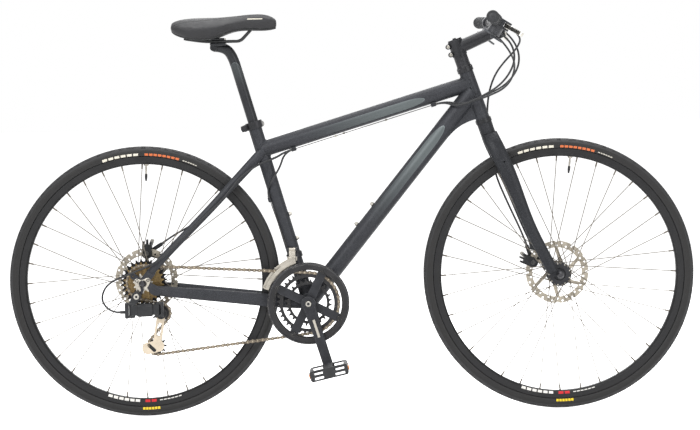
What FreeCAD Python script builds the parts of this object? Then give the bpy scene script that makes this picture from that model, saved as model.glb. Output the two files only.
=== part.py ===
import FreeCAD, Part
import math
import os

os.makedirs("parts", exist_ok=True)
V = FreeCAD.Vector

# Driving dimensions, millimetres and degrees. +X is forward, +Y the rider's left, +Z up.
# The origin lies on the ground, midway between the two axles.

# Wheels
WHEELBASE = 1050.0
TYRE_RADIUS = 343.0
TYRE_WIDTH = 32.0
TYRE_WALL = 3.0
RIM_RADIUS = 317.0
RIM_DEPTH = 19.2
RIM_WIDTH = 24.0
RIM_WALL = 1.8
BEAD_DEPTH = 5.5
SPOKES_PER_SIDE = 18
SPOKE_RADIUS = 1.0
NIPPLE_RADIUS = 2.0
NIPPLE_LENGTH = 12.0
SPOKE_STANDOFF = 1.0
VALVE_RADIUS = 2.8
VALVE_LENGTH = 43.0
VALVE_CAP_RADIUS = 3.4
VALVE_CAP_LENGTH = 15.0
FRONT_VALVE_ANGLE = 83.4
REAR_VALVE_ANGLE = 88.0
ROTOR_RADIUS = 80.0
ROTOR_THICKNESS = 1.8
ROTOR_BAND = 17.0
ROTOR_ARMS = 6
ROTOR_HOLES = 36
ROTOR_BOLT_CIRCLE = 22.0
HUB_BODY_RADIUS = 14.0
FLANGE_THICKNESS = 3.2
FRONT_FLANGE_RADIUS = 30.0
REAR_FLANGE_RADIUS = 28.0
FRONT_HUB_WIDTH = 100.0
REAR_HUB_WIDTH = 135.0
FRONT_ROTOR_INSET = 10.5
REAR_ROTOR_INSET = 15.3
FRONT_AXLE_RADIUS = 4.5
REAR_AXLE_RADIUS = 5.0

# Frame
CHAINSTAY_LENGTH = 419.0
BB_DROP = 59.0
SEAT_ANGLE = 74.0
HEAD_ANGLE = 71.2
FORK_RAKE = 48.0
FORK_LENGTH = 420.0
HEAD_TUBE_LENGTH = 126.0
HEAD_TUBE_RADIUS = 18.0
CUP_RADIUS = 20.5
CUP_HEIGHT = 11.0
RACE_HEIGHT = 3.0
SEAT_TUBE_LENGTH = 474.0
SEAT_TUBE_RADIUS = 17.0
TOP_TUBE_RADIUS = 20.0
DOWN_TUBE_RADIUS = 22.5
TUBE_WALL = 2.0
TOP_TUBE_SEAT_HEIGHT = 403.0
TOP_TUBE_HEAD_DROP = 31.0
DOWN_TUBE_HEAD_DROP = 52.0
GUSSET_RISE = 5.0
GUSSET_REACH = 128.0
GUSSET_HOLLOW = 7.0
GUSSET_WIDTH = 18.0
SHELL_RADIUS = 21.0
SHELL_WIDTH = 68.0
SHELL_WALL = 3.5
DROPOUT_THICKNESS = 6.0
STAY_WIDTH = 16.0

# Fork and controls
STEERER_RADIUS = 14.3
STEERER_WALL = 2.3
LEG_WALL = 2.6
CROWN_RADIUS = 19.0
CROWN_DEPTH = 42.0
SPACER_RADIUS = 17.5
SPACER_STACK = 27.0
STEM_CLAMP_HEIGHT = 40.0
STEM_CLAMP_RADIUS = 19.0
STEM_LENGTH = 108.0
STEM_RISE = 4.3
BAR_CLAMP_RADIUS = 12.7
BAR_RADIUS = 11.1
BAR_WALL = 2.2
BAR_HALF_WIDTH = 300.0
BAR_RISE = 22.4
BAR_SWEEP = 27.0
GRIP_RADIUS = 15.5
GRIP_LENGTH = 125.0
LEVER_TILT = 33.0
EYELET_RADIUS = 2.1
EYELET_BOSS_RADIUS = 6.0
EYELET_DEPTH = 12.0

# Drive train
CHAIN_PITCH = 12.7
CHAIN_LINKS = 110
ROLLER_RADIUS = 3.875
ROLLER_CLEARANCE = 0.33
PIN_RADIUS = 1.8
LINK_RADIUS = 4.2
LINK_PLATE = 1.0
LINK_INSIDE = 2.4
LINK_PLAY = 0.1
TOOTH_RISE = 2.8
TOOTH_TIP = 0.8
SPROCKET_THICKNESS = 1.7
RING_TEETH = (28, 38, 48)
RING_BORES = (46.0, 65.0, 84.0)
COG_TEETH = (28, 24, 21, 19, 17, 15, 13, 11)
RIDDEN_COG = 2
PULLEY_TEETH = 11
COG_FIRST = 26.7
COG_PITCH = 4.8
FREEHUB_RADIUS = 17.4
CHAINLINE = 47.5
RING_PITCH = 7.5
GUARD_RADIUS = 103.0
GUARD_BAND = 16.0
GUARD_THICKNESS = 3.0
GUARD_STANDOFF = 2.7
SPIDER_ANGLES = (64.5, 153.0, 243.0, 333.0)
SPIDER_ARM_WIDTH = 22.0
SPIDER_REACH = 58.0
SPIDER_STEP = 4.0
CRANK_LENGTH = 170.0
CRANK_LEAN = 17.0
CRANK_THICKNESS = 13.5
CRANK_INSET = 62.5
CRANK_FLARE = 11.5
SPINDLE_RADIUS = 8.5
PEDAL_LENGTH = 96.0
PEDAL_WIDTH = 90.0
PEDAL_THICKNESS = 27.0
PEDAL_AXLE_RADIUS = 6.0
PEDAL_TILT = 12.5
CAGE_LENGTH = 83.8
CAGE_PLATE = 1.5
CAGE_GAP = 10.6
PULLEY_AXLE_RADIUS = 2.5

# Saddle
POST_RADIUS = 13.6
POST_WALL = 2.2
POST_FOOT_HEIGHT = 350.0
POST_TOP_HEIGHT = 655.0
SADDLE_SETBACK = 25.0
RAIL_RADIUS = 3.5
RAIL_SPACING = 44.0
RAIL_HEIGHT = 689.0
SADDLE_HALF_WIDTH = 72.0

# Cables
HOUSING_RADIUS = 2.5
WIRE_RADIUS = 0.75

# Clearances
RUNNING = 0.05
BODY_GAP = 0.35
TOUCH = 0.02

# Reference points and directions
REAR = V(-WHEELBASE / 2, 0, TYRE_RADIUS)
FRONT = V(WHEELBASE / 2, 0, TYRE_RADIUS)
BB = V(REAR.x + math.sqrt(CHAINSTAY_LENGTH ** 2 - BB_DROP ** 2), 0, TYRE_RADIUS - BB_DROP)
LEFT = V(0, 1, 0)
SEAT_UP = V(-math.cos(math.radians(SEAT_ANGLE)), 0, math.sin(math.radians(SEAT_ANGLE)))
SEAT_FORE = V(SEAT_UP.z, 0, -SEAT_UP.x)
STEER_UP = V(-math.cos(math.radians(HEAD_ANGLE)), 0, math.sin(math.radians(HEAD_ANGLE)))
STEER_FORE = V(STEER_UP.z, 0, -STEER_UP.x)
STEER_FOOT = FRONT - STEER_FORE * FORK_RAKE


def on_seat(height, fore=0.0, side=0.0):
    """Point at a height along the seat tube's axis, with offsets forward and to the left."""
    return BB + SEAT_UP * height + SEAT_FORE * fore + LEFT * side


def on_steer(height, fore=0.0, side=0.0):
    """Point at a height along the steering axis, with offsets forward and to the left."""
    return STEER_FOOT + STEER_UP * height + STEER_FORE * fore + LEFT * side


# Shape helpers


def unit(vector):
    result = V(vector)
    result.normalize()
    return result


def rod(start, end, radius):
    axis = end - start
    return Part.makeCylinder(radius, axis.Length, start, axis)


def tube(start, end, radius, bore):
    return rod(start, end, radius).cut(rod(start, end, bore))


def cone(start, end, start_radius, end_radius):
    axis = end - start
    return Part.makeCone(start_radius, end_radius, axis.Length, start, axis)


def cross_rod(point, side_low, side_high, radius):
    """Cylinder along Y through a point, between two side values."""
    return rod(V(point.x, side_low, point.z), V(point.x, side_high, point.z), radius)


def plate(points, side_low, side_high):
    """Flat plate with an outline of points in the XZ plane, between two side values."""
    corners = [V(point.x, side_low, point.z) for point in points]
    face = Part.Face(Part.makePolygon(corners + corners[:1]))
    return face.extrude(V(0, side_high - side_low, 0))


def slot_plate(start, end, radius, side_low, side_high):
    """Plate with round ends at two points of the XZ plane."""
    along = unit(V(end.x - start.x, 0, end.z - start.z))
    across = V(-along.z, 0, along.x) * radius
    low = V(start.x, side_low, start.z)
    high = V(end.x, side_low, end.z)
    edges = [
        Part.LineSegment(low + across, high + across).toShape(),
        Part.Arc(high + across, high + along * radius, high - across).toShape(),
        Part.LineSegment(high - across, low - across).toShape(),
        Part.Arc(low - across, low - along * radius, low + across).toShape(),
    ]
    return Part.Face(Part.Wire(edges)).extrude(V(0, side_high - side_low, 0))


def turned(profile, foot, axis):
    """Solid of revolution from (radius, distance along axis) corners."""
    axis = unit(axis)
    out = axis.cross(LEFT)
    if out.Length < 0.5:
        out = V(1, 0, 0)
    out = unit(out)
    corners = [foot + out * radius + axis * along for radius, along in profile]
    face = Part.Face(Part.makePolygon(corners + corners[:1]))
    return face.revolve(foot, axis, 360)


def wheel_turned(profile, centre):
    """Solid of revolution about the wheel's axle from (radius, side) corners."""
    return turned(profile, V(centre.x, 0, centre.z), LEFT)


def oval(centre, tall, wide):
    """Elliptic section with its two half axes given as vectors."""
    return Part.Wire(Part.Ellipse(centre + tall, centre + wide, centre).toShape())


def lofted(stations, thinner=0.0):
    """Smooth solid through elliptic stations of (centre, tall, wide), drawn in by a wall thickness."""
    sections = []
    for centre, tall, wide in stations:
        sections.append(oval(centre, tall - unit(tall) * thinner, wide - unit(wide) * thinner))
    return Part.makeLoft(sections, True, False)


def lofted_tube(stations, wall):
    return lofted(stations).cut(lofted(stations, wall))


def bent_path(points):
    """Straight runs joined by tangent arcs, each as large as its two runs allow."""
    edges = []
    start = points[0]
    for before, corner, after in zip(points, points[1:], points[2:]):
        back = before - corner
        ahead = after - corner
        setback = 0.45 * min(back.Length, ahead.Length)
        back.normalize()
        ahead.normalize()
        half_turn = (math.pi - back.getAngle(ahead)) / 2
        radius = setback / math.tan(half_turn)
        inward = unit(back + ahead)
        first = corner + back * setback
        last = corner + ahead * setback
        middle = corner + inward * (radius / math.cos(half_turn) - radius)
        edges.append(Part.LineSegment(start, first).toShape())
        edges.append(Part.Arc(first, middle, last).toShape())
        start = last
    edges.append(Part.LineSegment(start, points[-1]).toShape())
    return Part.Wire(edges)


def swept(points, radius):
    """Round rod along a bent path."""
    path = bent_path(points)
    section = Part.Wire(Part.makeCircle(radius, points[0], points[1] - points[0]))
    solid = path.makePipeShell([section], True, False)
    expected = math.pi * radius ** 2 * path.Length
    if abs(solid.Volume - expected) > 0.01 * expected:
        print("swept volume differs from section times length:", solid.Volume, expected)
    return solid


def placed(shape, origin, along, normal):
    """Copy of a shape drawn in local X, Y, Z, set at an origin with its X and Z directions."""
    across = normal.cross(along)
    matrix = FreeCAD.Matrix(
        along.x, across.x, normal.x, origin.x,
        along.y, across.y, normal.y, origin.y,
        along.z, across.z, normal.z, origin.z,
        0, 0, 0, 1)
    result = shape.copy()
    result.Placement = FreeCAD.Placement(matrix)
    return result


def mirrored(shape):
    return shape.mirror(V(0, 0, 0), LEFT)


def both_sides(shape):
    return [shape, mirrored(shape)]


def fused(shapes):
    return shapes[0].multiFuse(shapes[1:]).removeSplitter()


def block(low, high):
    return Part.makeBox(high.x - low.x, high.y - low.y, high.z - low.z, low)


def round_points(centre, radius, angle, side=0.0):
    """Point on a circle about the Y axis, its angle from +X towards +Z."""
    turn = math.radians(angle)
    return V(centre.x + radius * math.cos(turn), side, centre.z + radius * math.sin(turn))


def save(name, shapes):
    solids = [solid for shape in shapes for solid in shape.Solids]
    for solid in solids:
        if solid.Volume < 0:
            solid.reverse()
        if not solid.isValid():
            print("not valid:", name)
    Part.makeCompound(solids).exportStep("parts/" + name + ".step")
    volume = sum(solid.Volume for solid in solids)
    print(name, len(solids), "solids", round(volume / 1000, 1), "cm3")


# Wheels: tyre with inner tube and valve, rim, spokes, hub shell, rotor


def make_tyre(centre, valve_angle):
    half = TYRE_WIDTH / 2
    middle = TYRE_RADIUS - half
    seat = RIM_RADIUS - BEAD_DEPTH + 0.6
    hook_top = RIM_RADIUS + BODY_GAP
    hook_side = RIM_WIDTH / 2 - RIM_WALL - 0.4
    shoulder = hook_top + 1.2
    shoulder_side = math.sqrt(half ** 2 - (shoulder - middle) ** 2)
    inner = half - TYRE_WALL
    bead_side = hook_side - TYRE_WALL

    def at(radius, side):
        return V(centre.x + radius, side, centre.z)

    bevel = half * math.sqrt(0.5)
    edges = []
    for sign in (1, -1):
        outline = [
            Part.Arc(at(TYRE_RADIUS, 0), at(middle + bevel, sign * bevel), at(shoulder, sign * shoulder_side)),
            Part.LineSegment(at(shoulder, sign * shoulder_side), at(hook_top, sign * hook_side)),
            Part.LineSegment(at(hook_top, sign * hook_side), at(seat, sign * hook_side)),
            Part.LineSegment(at(seat, sign * hook_side), at(seat, sign * bead_side)),
            Part.LineSegment(at(seat, sign * bead_side), at(hook_top, sign * bead_side)),
            Part.Arc(at(hook_top, sign * bead_side), at(middle, sign * inner), at(middle + inner, 0)),
        ]
        edges.extend(piece.toShape() for piece in outline)
    profile = Part.Wire(Part.__sortEdges__(edges))
    casing = Part.Face(profile).revolve(V(centre.x, 0, centre.z), LEFT, 360)
    tube_radius = inner - 1.0
    tube_middle = middle + 0.5
    inner_tube = Part.makeTorus(tube_middle, tube_radius, V(centre.x, 0, centre.z), LEFT)
    inner_tube = inner_tube.cut(Part.makeTorus(tube_middle, tube_radius - 1.0, V(centre.x, 0, centre.z), LEFT))
    top = round_points(centre, tube_middle - tube_radius - BODY_GAP, valve_angle)
    tip_radius = RIM_RADIUS - RIM_DEPTH - VALVE_LENGTH
    collar = round_points(centre, tip_radius + VALVE_CAP_LENGTH, valve_angle)
    tip = round_points(centre, tip_radius, valve_angle)
    neck = collar + (tip - collar) * 0.35
    valve = fused([
        rod(top, collar, VALVE_RADIUS),
        rod(collar, neck, VALVE_CAP_RADIUS),
        cone(neck, tip, VALVE_CAP_RADIUS, VALVE_CAP_RADIUS * 0.6),
    ])
    return [casing, inner_tube, valve]


def make_rim(centre, valve_angle):
    half = RIM_WIDTH / 2
    foot = RIM_RADIUS - RIM_DEPTH
    bed = RIM_RADIUS - BEAD_DEPTH
    wall = RIM_WALL
    half_outline = [
        (RIM_RADIUS, half - wall), (bed, half - wall), (bed - 2.4, half - 5.5),
    ]
    outer_half = [(foot, half - 5.0), (foot + 5.2, half), (RIM_RADIUS, half)]
    outline = half_outline + [(r, -y) for r, y in reversed(half_outline)]
    outline += [(r, -y) for r, y in reversed(outer_half)] + outer_half
    chamber_half = [(foot + wall, half - 5.6), (foot + 5.8, half - wall), (bed - 2.6, half - wall),
                    (bed - 2.4 - wall, half - 5.6)]
    chamber = chamber_half + [(r, -y) for r, y in reversed(chamber_half)]
    rim = wheel_turned(outline, centre).cut(wheel_turned(chamber, centre))
    hole_top = round_points(centre, RIM_RADIUS, valve_angle)
    hole_foot = round_points(centre, foot - 1.0, valve_angle)
    return rim.cut(rod(hole_foot, hole_top, VALVE_RADIUS + 0.2))


def make_spokes(centre, flanges, flange_radius):
    """Spokes crossed three times, their heads alternating between the two faces of each flange."""
    spokes = []
    step = 360.0 / SPOKES_PER_SIDE
    head_circle = flange_radius - 3.5
    rim_end = RIM_RADIUS - RIM_DEPTH - BODY_GAP
    for flange, offset in zip(flanges, (0.0, step / 2)):
        outward = 1 if flange > 0 else -1
        for index in range(SPOKES_PER_SIDE):
            lead = 1 if index % 2 == 0 else -1
            hole = offset + step * index
            face = FLANGE_THICKNESS / 2 + SPOKE_RADIUS + SPOKE_STANDOFF
            head = round_points(centre, head_circle, hole, flange + lead * outward * face)
            foot = round_points(centre, rim_end, hole + lead * 3 * step, outward * 2.5)
            length = (foot - head).Length
            profile = [
                (0, 0), (SPOKE_RADIUS, 0), (SPOKE_RADIUS, length - NIPPLE_LENGTH),
                (NIPPLE_RADIUS, length - NIPPLE_LENGTH), (NIPPLE_RADIUS, length), (0, length),
            ]
            spokes.append(turned(profile, head, foot - head))
    return spokes


def make_hub(centre, flanges, flange_radius, axle_radius, ends, rotor_face):
    """Hub shell with two flanges, a rotor seat on the left and a running bore on the axle."""
    half = FLANGE_THICKNESS / 2
    right, left = flanges
    low, high = ends
    bore = axle_radius + RUNNING
    rotor_seat = ROTOR_BOLT_CIRCLE + 4.0
    profile = [
        (bore, low), (HUB_BODY_RADIUS - 2, low), (HUB_BODY_RADIUS + 2, right - half),
        (flange_radius, right - half), (flange_radius, right + half),
        (HUB_BODY_RADIUS + 2, right + half), (HUB_BODY_RADIUS, right + half + 5),
        (HUB_BODY_RADIUS, left - half - 5), (HUB_BODY_RADIUS + 2, left - half),
        (flange_radius, left - half), (flange_radius, left + half),
        (HUB_BODY_RADIUS + 4, left + half), (HUB_BODY_RADIUS + 4, rotor_face - 5),
        (rotor_seat, rotor_face - 5), (rotor_seat, rotor_face),
        (HUB_BODY_RADIUS - 1, rotor_face), (HUB_BODY_RADIUS - 1, high), (bore, high),
    ]
    return wheel_turned(profile, centre)


def make_rotor(centre, side):
    """Brake rotor: a drilled band on six raked arms, held by six bolts."""
    low = side - ROTOR_THICKNESS / 2
    high = side + ROTOR_THICKNESS / 2
    inner_edge = ROTOR_RADIUS - ROTOR_BAND
    eye = ROTOR_BOLT_CIRCLE + 5.0
    band = cross_rod(centre, low, high, ROTOR_RADIUS).cut(cross_rod(centre, low, high, inner_edge))
    hub_ring = cross_rod(centre, low, high, eye)
    parts = [band, hub_ring]
    for index in range(ROTOR_ARMS):
        angle = 360.0 / ROTOR_ARMS * index
        start = round_points(centre, ROTOR_BOLT_CIRCLE, angle)
        end = round_points(centre, inner_edge + 3.0, angle + 32.0)
        parts.append(slot_plate(start, end, 4.5, low, high))
    cuts = [cross_rod(centre, low, high, HUB_BODY_RADIUS - 1 + TOUCH)]
    for index in range(ROTOR_HOLES):
        ring = inner_edge + ROTOR_BAND * (0.3 if index % 2 else 0.68)
        cuts.append(cross_rod(round_points(centre, ring, 360.0 / ROTOR_HOLES * index), low, high, 2.6))
    for index in range(2 * ROTOR_ARMS):
        notch = round_points(centre, ROTOR_RADIUS + 3.2, 180.0 / ROTOR_ARMS * index)
        cuts.append(cross_rod(notch, low, high, 6.0))
    rotor = fused(parts).cut(cuts)
    bolts = []
    for index in range(ROTOR_ARMS):
        point = round_points(centre, ROTOR_BOLT_CIRCLE, 360.0 / ROTOR_ARMS * index)
        head = cross_rod(point, high, high + 2.2, 3.8)
        bolts.append(head.cut(cross_rod(point, high + 0.8, high + 2.2, 1.9)))
    return [rotor] + bolts


FRONT_ROTOR_SIDE = FRONT_HUB_WIDTH / 2 - FRONT_ROTOR_INSET
REAR_ROTOR_SIDE = REAR_HUB_WIDTH / 2 - REAR_ROTOR_INSET
FRONT_FLANGES = (-33.0, 20.0)
REAR_FLANGES = (-17.0, 32.0)

for wheel, centre, valve_angle in (("front", FRONT, FRONT_VALVE_ANGLE), ("rear", REAR, REAR_VALVE_ANGLE)):
    save(wheel + "_tyre", make_tyre(centre, valve_angle))
    save(wheel + "_rim", [make_rim(centre, valve_angle)])

save("front_spokes", make_spokes(FRONT, FRONT_FLANGES, FRONT_FLANGE_RADIUS))
save("rear_spokes", make_spokes(REAR, REAR_FLANGES, REAR_FLANGE_RADIUS))
FRONT_HUB_ENDS = (-FRONT_HUB_WIDTH / 2 + 6.0, FRONT_HUB_WIDTH / 2 - 6.0)
REAR_HUB_ENDS = (-COG_FIRST + 4.5, REAR_HUB_WIDTH / 2 - 12.0)
FRONT_ROTOR_FACE = FRONT_ROTOR_SIDE - ROTOR_THICKNESS / 2
REAR_ROTOR_FACE = REAR_ROTOR_SIDE - ROTOR_THICKNESS / 2
save("front_hub", [make_hub(FRONT, FRONT_FLANGES, FRONT_FLANGE_RADIUS, FRONT_AXLE_RADIUS,
                            FRONT_HUB_ENDS, FRONT_ROTOR_FACE)])
save("rear_hub", [make_hub(REAR, REAR_FLANGES, REAR_FLANGE_RADIUS, REAR_AXLE_RADIUS,
                           REAR_HUB_ENDS, REAR_ROTOR_FACE)])
save("front_rotor", make_rotor(FRONT, FRONT_ROTOR_SIDE))
save("rear_rotor", make_rotor(REAR, REAR_ROTOR_SIDE))


# Axles with cones, skewer nut on the right and cam housing on the left, and their levers


QR_PIN_RADIUS = 3.0
QR_LUG = 4.0
QR_NUT_RADIUS = 9.0
QR_LEVER_LENGTH = 48.0
DROPOUT_OUTER_FRONT = FRONT_HUB_WIDTH / 2 + DROPOUT_THICKNESS
DROPOUT_OUTER_REAR = REAR_HUB_WIDTH / 2 + DROPOUT_THICKNESS


def make_axle(centre, axle_radius, hub_ends, hub_width, lever_angle):
    """Axle with locknuts, nut and cam housing. The cam pin stands across the lever's direction."""
    face = hub_width / 2
    outer = face + DROPOUT_THICKNESS
    low, high = hub_ends
    cone_radius = axle_radius + 3.5
    profile = [
        (0, -outer - 13), (5.5, -outer - 13), (QR_NUT_RADIUS, -outer - 7), (QR_NUT_RADIUS, -outer - TOUCH),
        (axle_radius, -outer - TOUCH), (axle_radius, -face + TOUCH), (cone_radius, -face + TOUCH),
        (cone_radius, low - BODY_GAP), (axle_radius, low - BODY_GAP), (axle_radius, high + BODY_GAP),
        (cone_radius, high + BODY_GAP), (cone_radius, face - TOUCH), (axle_radius, face - TOUCH),
        (axle_radius, outer + TOUCH), (QR_NUT_RADIUS, outer + TOUCH), (QR_NUT_RADIUS, outer + 6), (0, outer + 6),
    ]
    body = wheel_turned(profile, centre)
    turn = math.radians(lever_angle)
    along = V(math.cos(turn), 0, math.sin(turn))
    across = V(-along.z, 0, along.x)
    pin_at = V(centre.x, outer + 11, centre.z)
    lug = placed(Part.makeBox(10, 2 * QR_LUG, 11, V(-5, -QR_LUG, -6)), pin_at, along, LEFT)
    pin = rod(pin_at - across * 2.2 * QR_LUG, pin_at + across * 2.2 * QR_LUG, QR_PIN_RADIUS)
    return fused([body, lug, pin])


def make_qr_lever(pin_at, along, length):
    """Cam lever: two ears on the cam pin and a blade that lies along the wheel."""
    bore = QR_PIN_RADIUS + RUNNING
    inner = QR_LUG + BODY_GAP
    outer = 2.2 * QR_LUG
    ears = []
    for sign in (1, -1):
        ear = Part.makeCylinder(5.0, outer - inner, V(0, inner, 0), V(0, 1, 0))
        arm = Part.makeBox(16, outer - inner, 5, V(0, inner, 0))
        ear = ear.fuse(arm).cut(Part.makeCylinder(bore, outer, V(0, 0, 0), V(0, 1, 0)))
        ears.append(ear if sign > 0 else ear.mirror(V(0, 0, 0), V(0, 1, 0)))
    blade = Part.makeBox(length - 10, 2 * outer, 5, V(10, -outer, 0))
    tip = Part.makeCylinder(outer, 5, V(length, 0, 0), V(0, 0, 1))
    lever = fused(ears + [blade, tip])
    return placed(lever, pin_at, along, LEFT)


FRONT_LEVER_ANGLE = 118.0
REAR_LEVER_ANGLE = 42.0
save("front_axle", [make_axle(FRONT, FRONT_AXLE_RADIUS, FRONT_HUB_ENDS, FRONT_HUB_WIDTH, FRONT_LEVER_ANGLE)])
REAR_SPIN_ENDS = (-COG_FIRST - COG_PITCH * (len(COG_TEETH) - 1) - 3.5, REAR_HUB_ENDS[1])
save("rear_axle", [make_axle(REAR, REAR_AXLE_RADIUS, REAR_SPIN_ENDS, REAR_HUB_WIDTH, REAR_LEVER_ANGLE)])
for wheel, centre, outer, lever_angle in (
        ("front", FRONT, DROPOUT_OUTER_FRONT, FRONT_LEVER_ANGLE),
        ("rear", REAR, DROPOUT_OUTER_REAR, REAR_LEVER_ANGLE)):
    turn = math.radians(lever_angle)
    along = V(math.cos(turn), 0, math.sin(turn))
    pin_at = V(centre.x, outer + 11, centre.z)
    save(wheel + "_qr_lever", [make_qr_lever(pin_at, along, QR_LEVER_LENGTH)])
    print(wheel, "lever pin", pin_at, "axis", along.cross(LEFT))


# Frame tubes, mitred where they meet


HEAD_LOW = FORK_LENGTH + RACE_HEIGHT + BODY_GAP + CUP_HEIGHT
HEAD_HIGH = HEAD_LOW + HEAD_TUBE_LENGTH
CUP_TOP = HEAD_HIGH + CUP_HEIGHT
head_outside = rod(on_steer(HEAD_LOW), on_steer(HEAD_HIGH), HEAD_TUBE_RADIUS)
head_bore = STEERER_RADIUS + 1.0
head_tube = tube(on_steer(HEAD_LOW), on_steer(HEAD_HIGH), HEAD_TUBE_RADIUS, head_bore)
save("head_tube", [head_tube])
cup_bore = STEERER_RADIUS + RUNNING
lower_cup = tube(on_steer(HEAD_LOW - CUP_HEIGHT), on_steer(HEAD_LOW), CUP_RADIUS, cup_bore)
upper_cup = tube(on_steer(HEAD_HIGH), on_steer(CUP_TOP), CUP_RADIUS, cup_bore)
save("headset", [lower_cup, upper_cup])

shell_outside = cross_rod(BB, -SHELL_WIDTH / 2, SHELL_WIDTH / 2, SHELL_RADIUS)
shell_bore = SHELL_RADIUS - SHELL_WALL
shell = shell_outside.cut(cross_rod(BB, -SHELL_WIDTH / 2, SHELL_WIDTH / 2, shell_bore))
cups = []
for sign in (1, -1):
    face = sign * SHELL_WIDTH / 2
    cup = cross_rod(BB, face - sign * 16.0, face, shell_bore - TOUCH)
    cup = cup.fuse(cross_rod(BB, face, face + sign * 2.0, SHELL_RADIUS - 0.5))
    cups.append(cup.cut(cross_rod(BB, -SHELL_WIDTH, SHELL_WIDTH, SPINDLE_RADIUS + RUNNING)))
save("bottom_bracket", [shell] + cups)

seat_outside = rod(on_seat(0), on_seat(SEAT_TUBE_LENGTH), SEAT_TUBE_RADIUS)
post_bore = POST_RADIUS + RUNNING
seat_tube = seat_outside.cut([shell_outside, rod(on_seat(0), on_seat(SEAT_TUBE_LENGTH), post_bore)])
save("seat_tube", [seat_tube])

TOP_TUBE_REAR = on_seat(TOP_TUBE_SEAT_HEIGHT)
TOP_TUBE_FRONT = on_steer(HEAD_HIGH - TOP_TUBE_HEAD_DROP)
DOWN_TUBE_FRONT = on_steer(HEAD_HIGH - DOWN_TUBE_HEAD_DROP)
top_outside = rod(TOP_TUBE_REAR, TOP_TUBE_FRONT, TOP_TUBE_RADIUS)
top_tube = top_outside.cut([rod(TOP_TUBE_REAR, TOP_TUBE_FRONT, TOP_TUBE_RADIUS - TUBE_WALL),
                            seat_outside, head_outside])
save("top_tube", [max(top_tube.Solids, key=lambda solid: solid.Volume)])
down_outside = rod(BB, DOWN_TUBE_FRONT, DOWN_TUBE_RADIUS)
down_tube = down_outside.cut([rod(BB, DOWN_TUBE_FRONT, DOWN_TUBE_RADIUS - TUBE_WALL),
                              shell_outside, seat_outside, head_outside, top_outside])
DOWN_TUBE_ALONG = unit(DOWN_TUBE_FRONT - BB)
DOWN_TUBE_UP = V(-DOWN_TUBE_ALONG.z, 0, DOWN_TUBE_ALONG.x)
gusset_head = on_steer(HEAD_LOW + GUSSET_RISE, -HEAD_TUBE_RADIUS)
gusset_tail = DOWN_TUBE_FRONT - DOWN_TUBE_ALONG * GUSSET_REACH - DOWN_TUBE_UP * DOWN_TUBE_RADIUS
gusset_root = DOWN_TUBE_FRONT - DOWN_TUBE_ALONG * GUSSET_REACH
gusset_waist = (gusset_head + gusset_tail) / 2 + DOWN_TUBE_UP * GUSSET_HOLLOW
gusset_edges = [
    Part.Arc(gusset_head, gusset_waist, gusset_tail), Part.LineSegment(gusset_tail, gusset_root),
    Part.LineSegment(gusset_root, DOWN_TUBE_FRONT),
    Part.LineSegment(DOWN_TUBE_FRONT, on_steer(HEAD_LOW + GUSSET_RISE)),
    Part.LineSegment(on_steer(HEAD_LOW + GUSSET_RISE), gusset_head),
]
gusset_wire = Part.Wire([edge.toShape() for edge in gusset_edges])
gusset = Part.Face(gusset_wire).extrude(LEFT * GUSSET_WIDTH)
gusset.translate(LEFT * (-GUSSET_WIDTH / 2))
gusset = gusset.cut([head_outside, down_outside])
save("down_tube", [max(shape.Solids, key=lambda solid: solid.Volume) for shape in (down_tube, gusset)])


# Dropouts, with rack eyelets, and the derailleur hanger on the right


DROPOUT_INNER = REAR_HUB_WIDTH / 2
DROPOUT_OUTER = DROPOUT_OUTER_REAR
CHAINSTAY_END = REAR + V(33.0, 0, -19.0)
SEATSTAY_END = REAR + V(22.0, 0, 28.0)
RACK_EYELET = REAR + V(-23.0, 0, 19.0)
HANGER = REAR + V(-15.0, 0, -31.0)
HANGER_BOLT_RADIUS = 5.0


def make_dropout(sign):
    low, high = sorted((sign * DROPOUT_INNER, sign * DROPOUT_OUTER))
    arms = [
        slot_plate(REAR, CHAINSTAY_END, 12.0, low, high),
        slot_plate(REAR, SEATSTAY_END, 11.0, low, high),
        slot_plate(REAR, RACK_EYELET, 7.5, low, high),
    ]
    eyelet = cross_rod(RACK_EYELET, low, high, EYELET_RADIUS)
    slot = slot_plate(REAR, REAR + V(16.0, 0, -30.0), REAR_AXLE_RADIUS + 0.1, low, high)
    cuts = [eyelet, slot]
    if sign < 0:
        arms.append(slot_plate(REAR, HANGER, 9.5, low, high))
        cuts.append(cross_rod(HANGER, low, high, HANGER_BOLT_RADIUS + TOUCH))
    return fused(arms).cut(cuts)


dropouts = [make_dropout(1), make_dropout(-1)]
save("dropouts", dropouts)


# Rear stays: chainstays, seatstays and their bridges


def make_stay(stations):
    """Stay through (point, height across the run) stations with one width."""
    sections = []
    points = [point for point, height in stations]
    for index, (point, height) in enumerate(stations):
        ahead = points[min(index + 1, len(points) - 1)] - points[max(index - 1, 0)]
        side = unit(LEFT - ahead * (LEFT.dot(ahead) / ahead.dot(ahead)))
        tall = unit(ahead.cross(side))
        sections.append((point, tall * (height / 2), side * (STAY_WIDTH / 2)))
    return lofted_tube(sections, TUBE_WALL)


def straight_run(first, last):
    """Two stations that keep the long run between two others straight."""
    (start, start_height), (end, end_height) = first, last
    return [(start + (end - start) * share, start_height + (end_height - start_height) * share)
            for share in (1 / 3, 2 / 3)]


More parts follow.
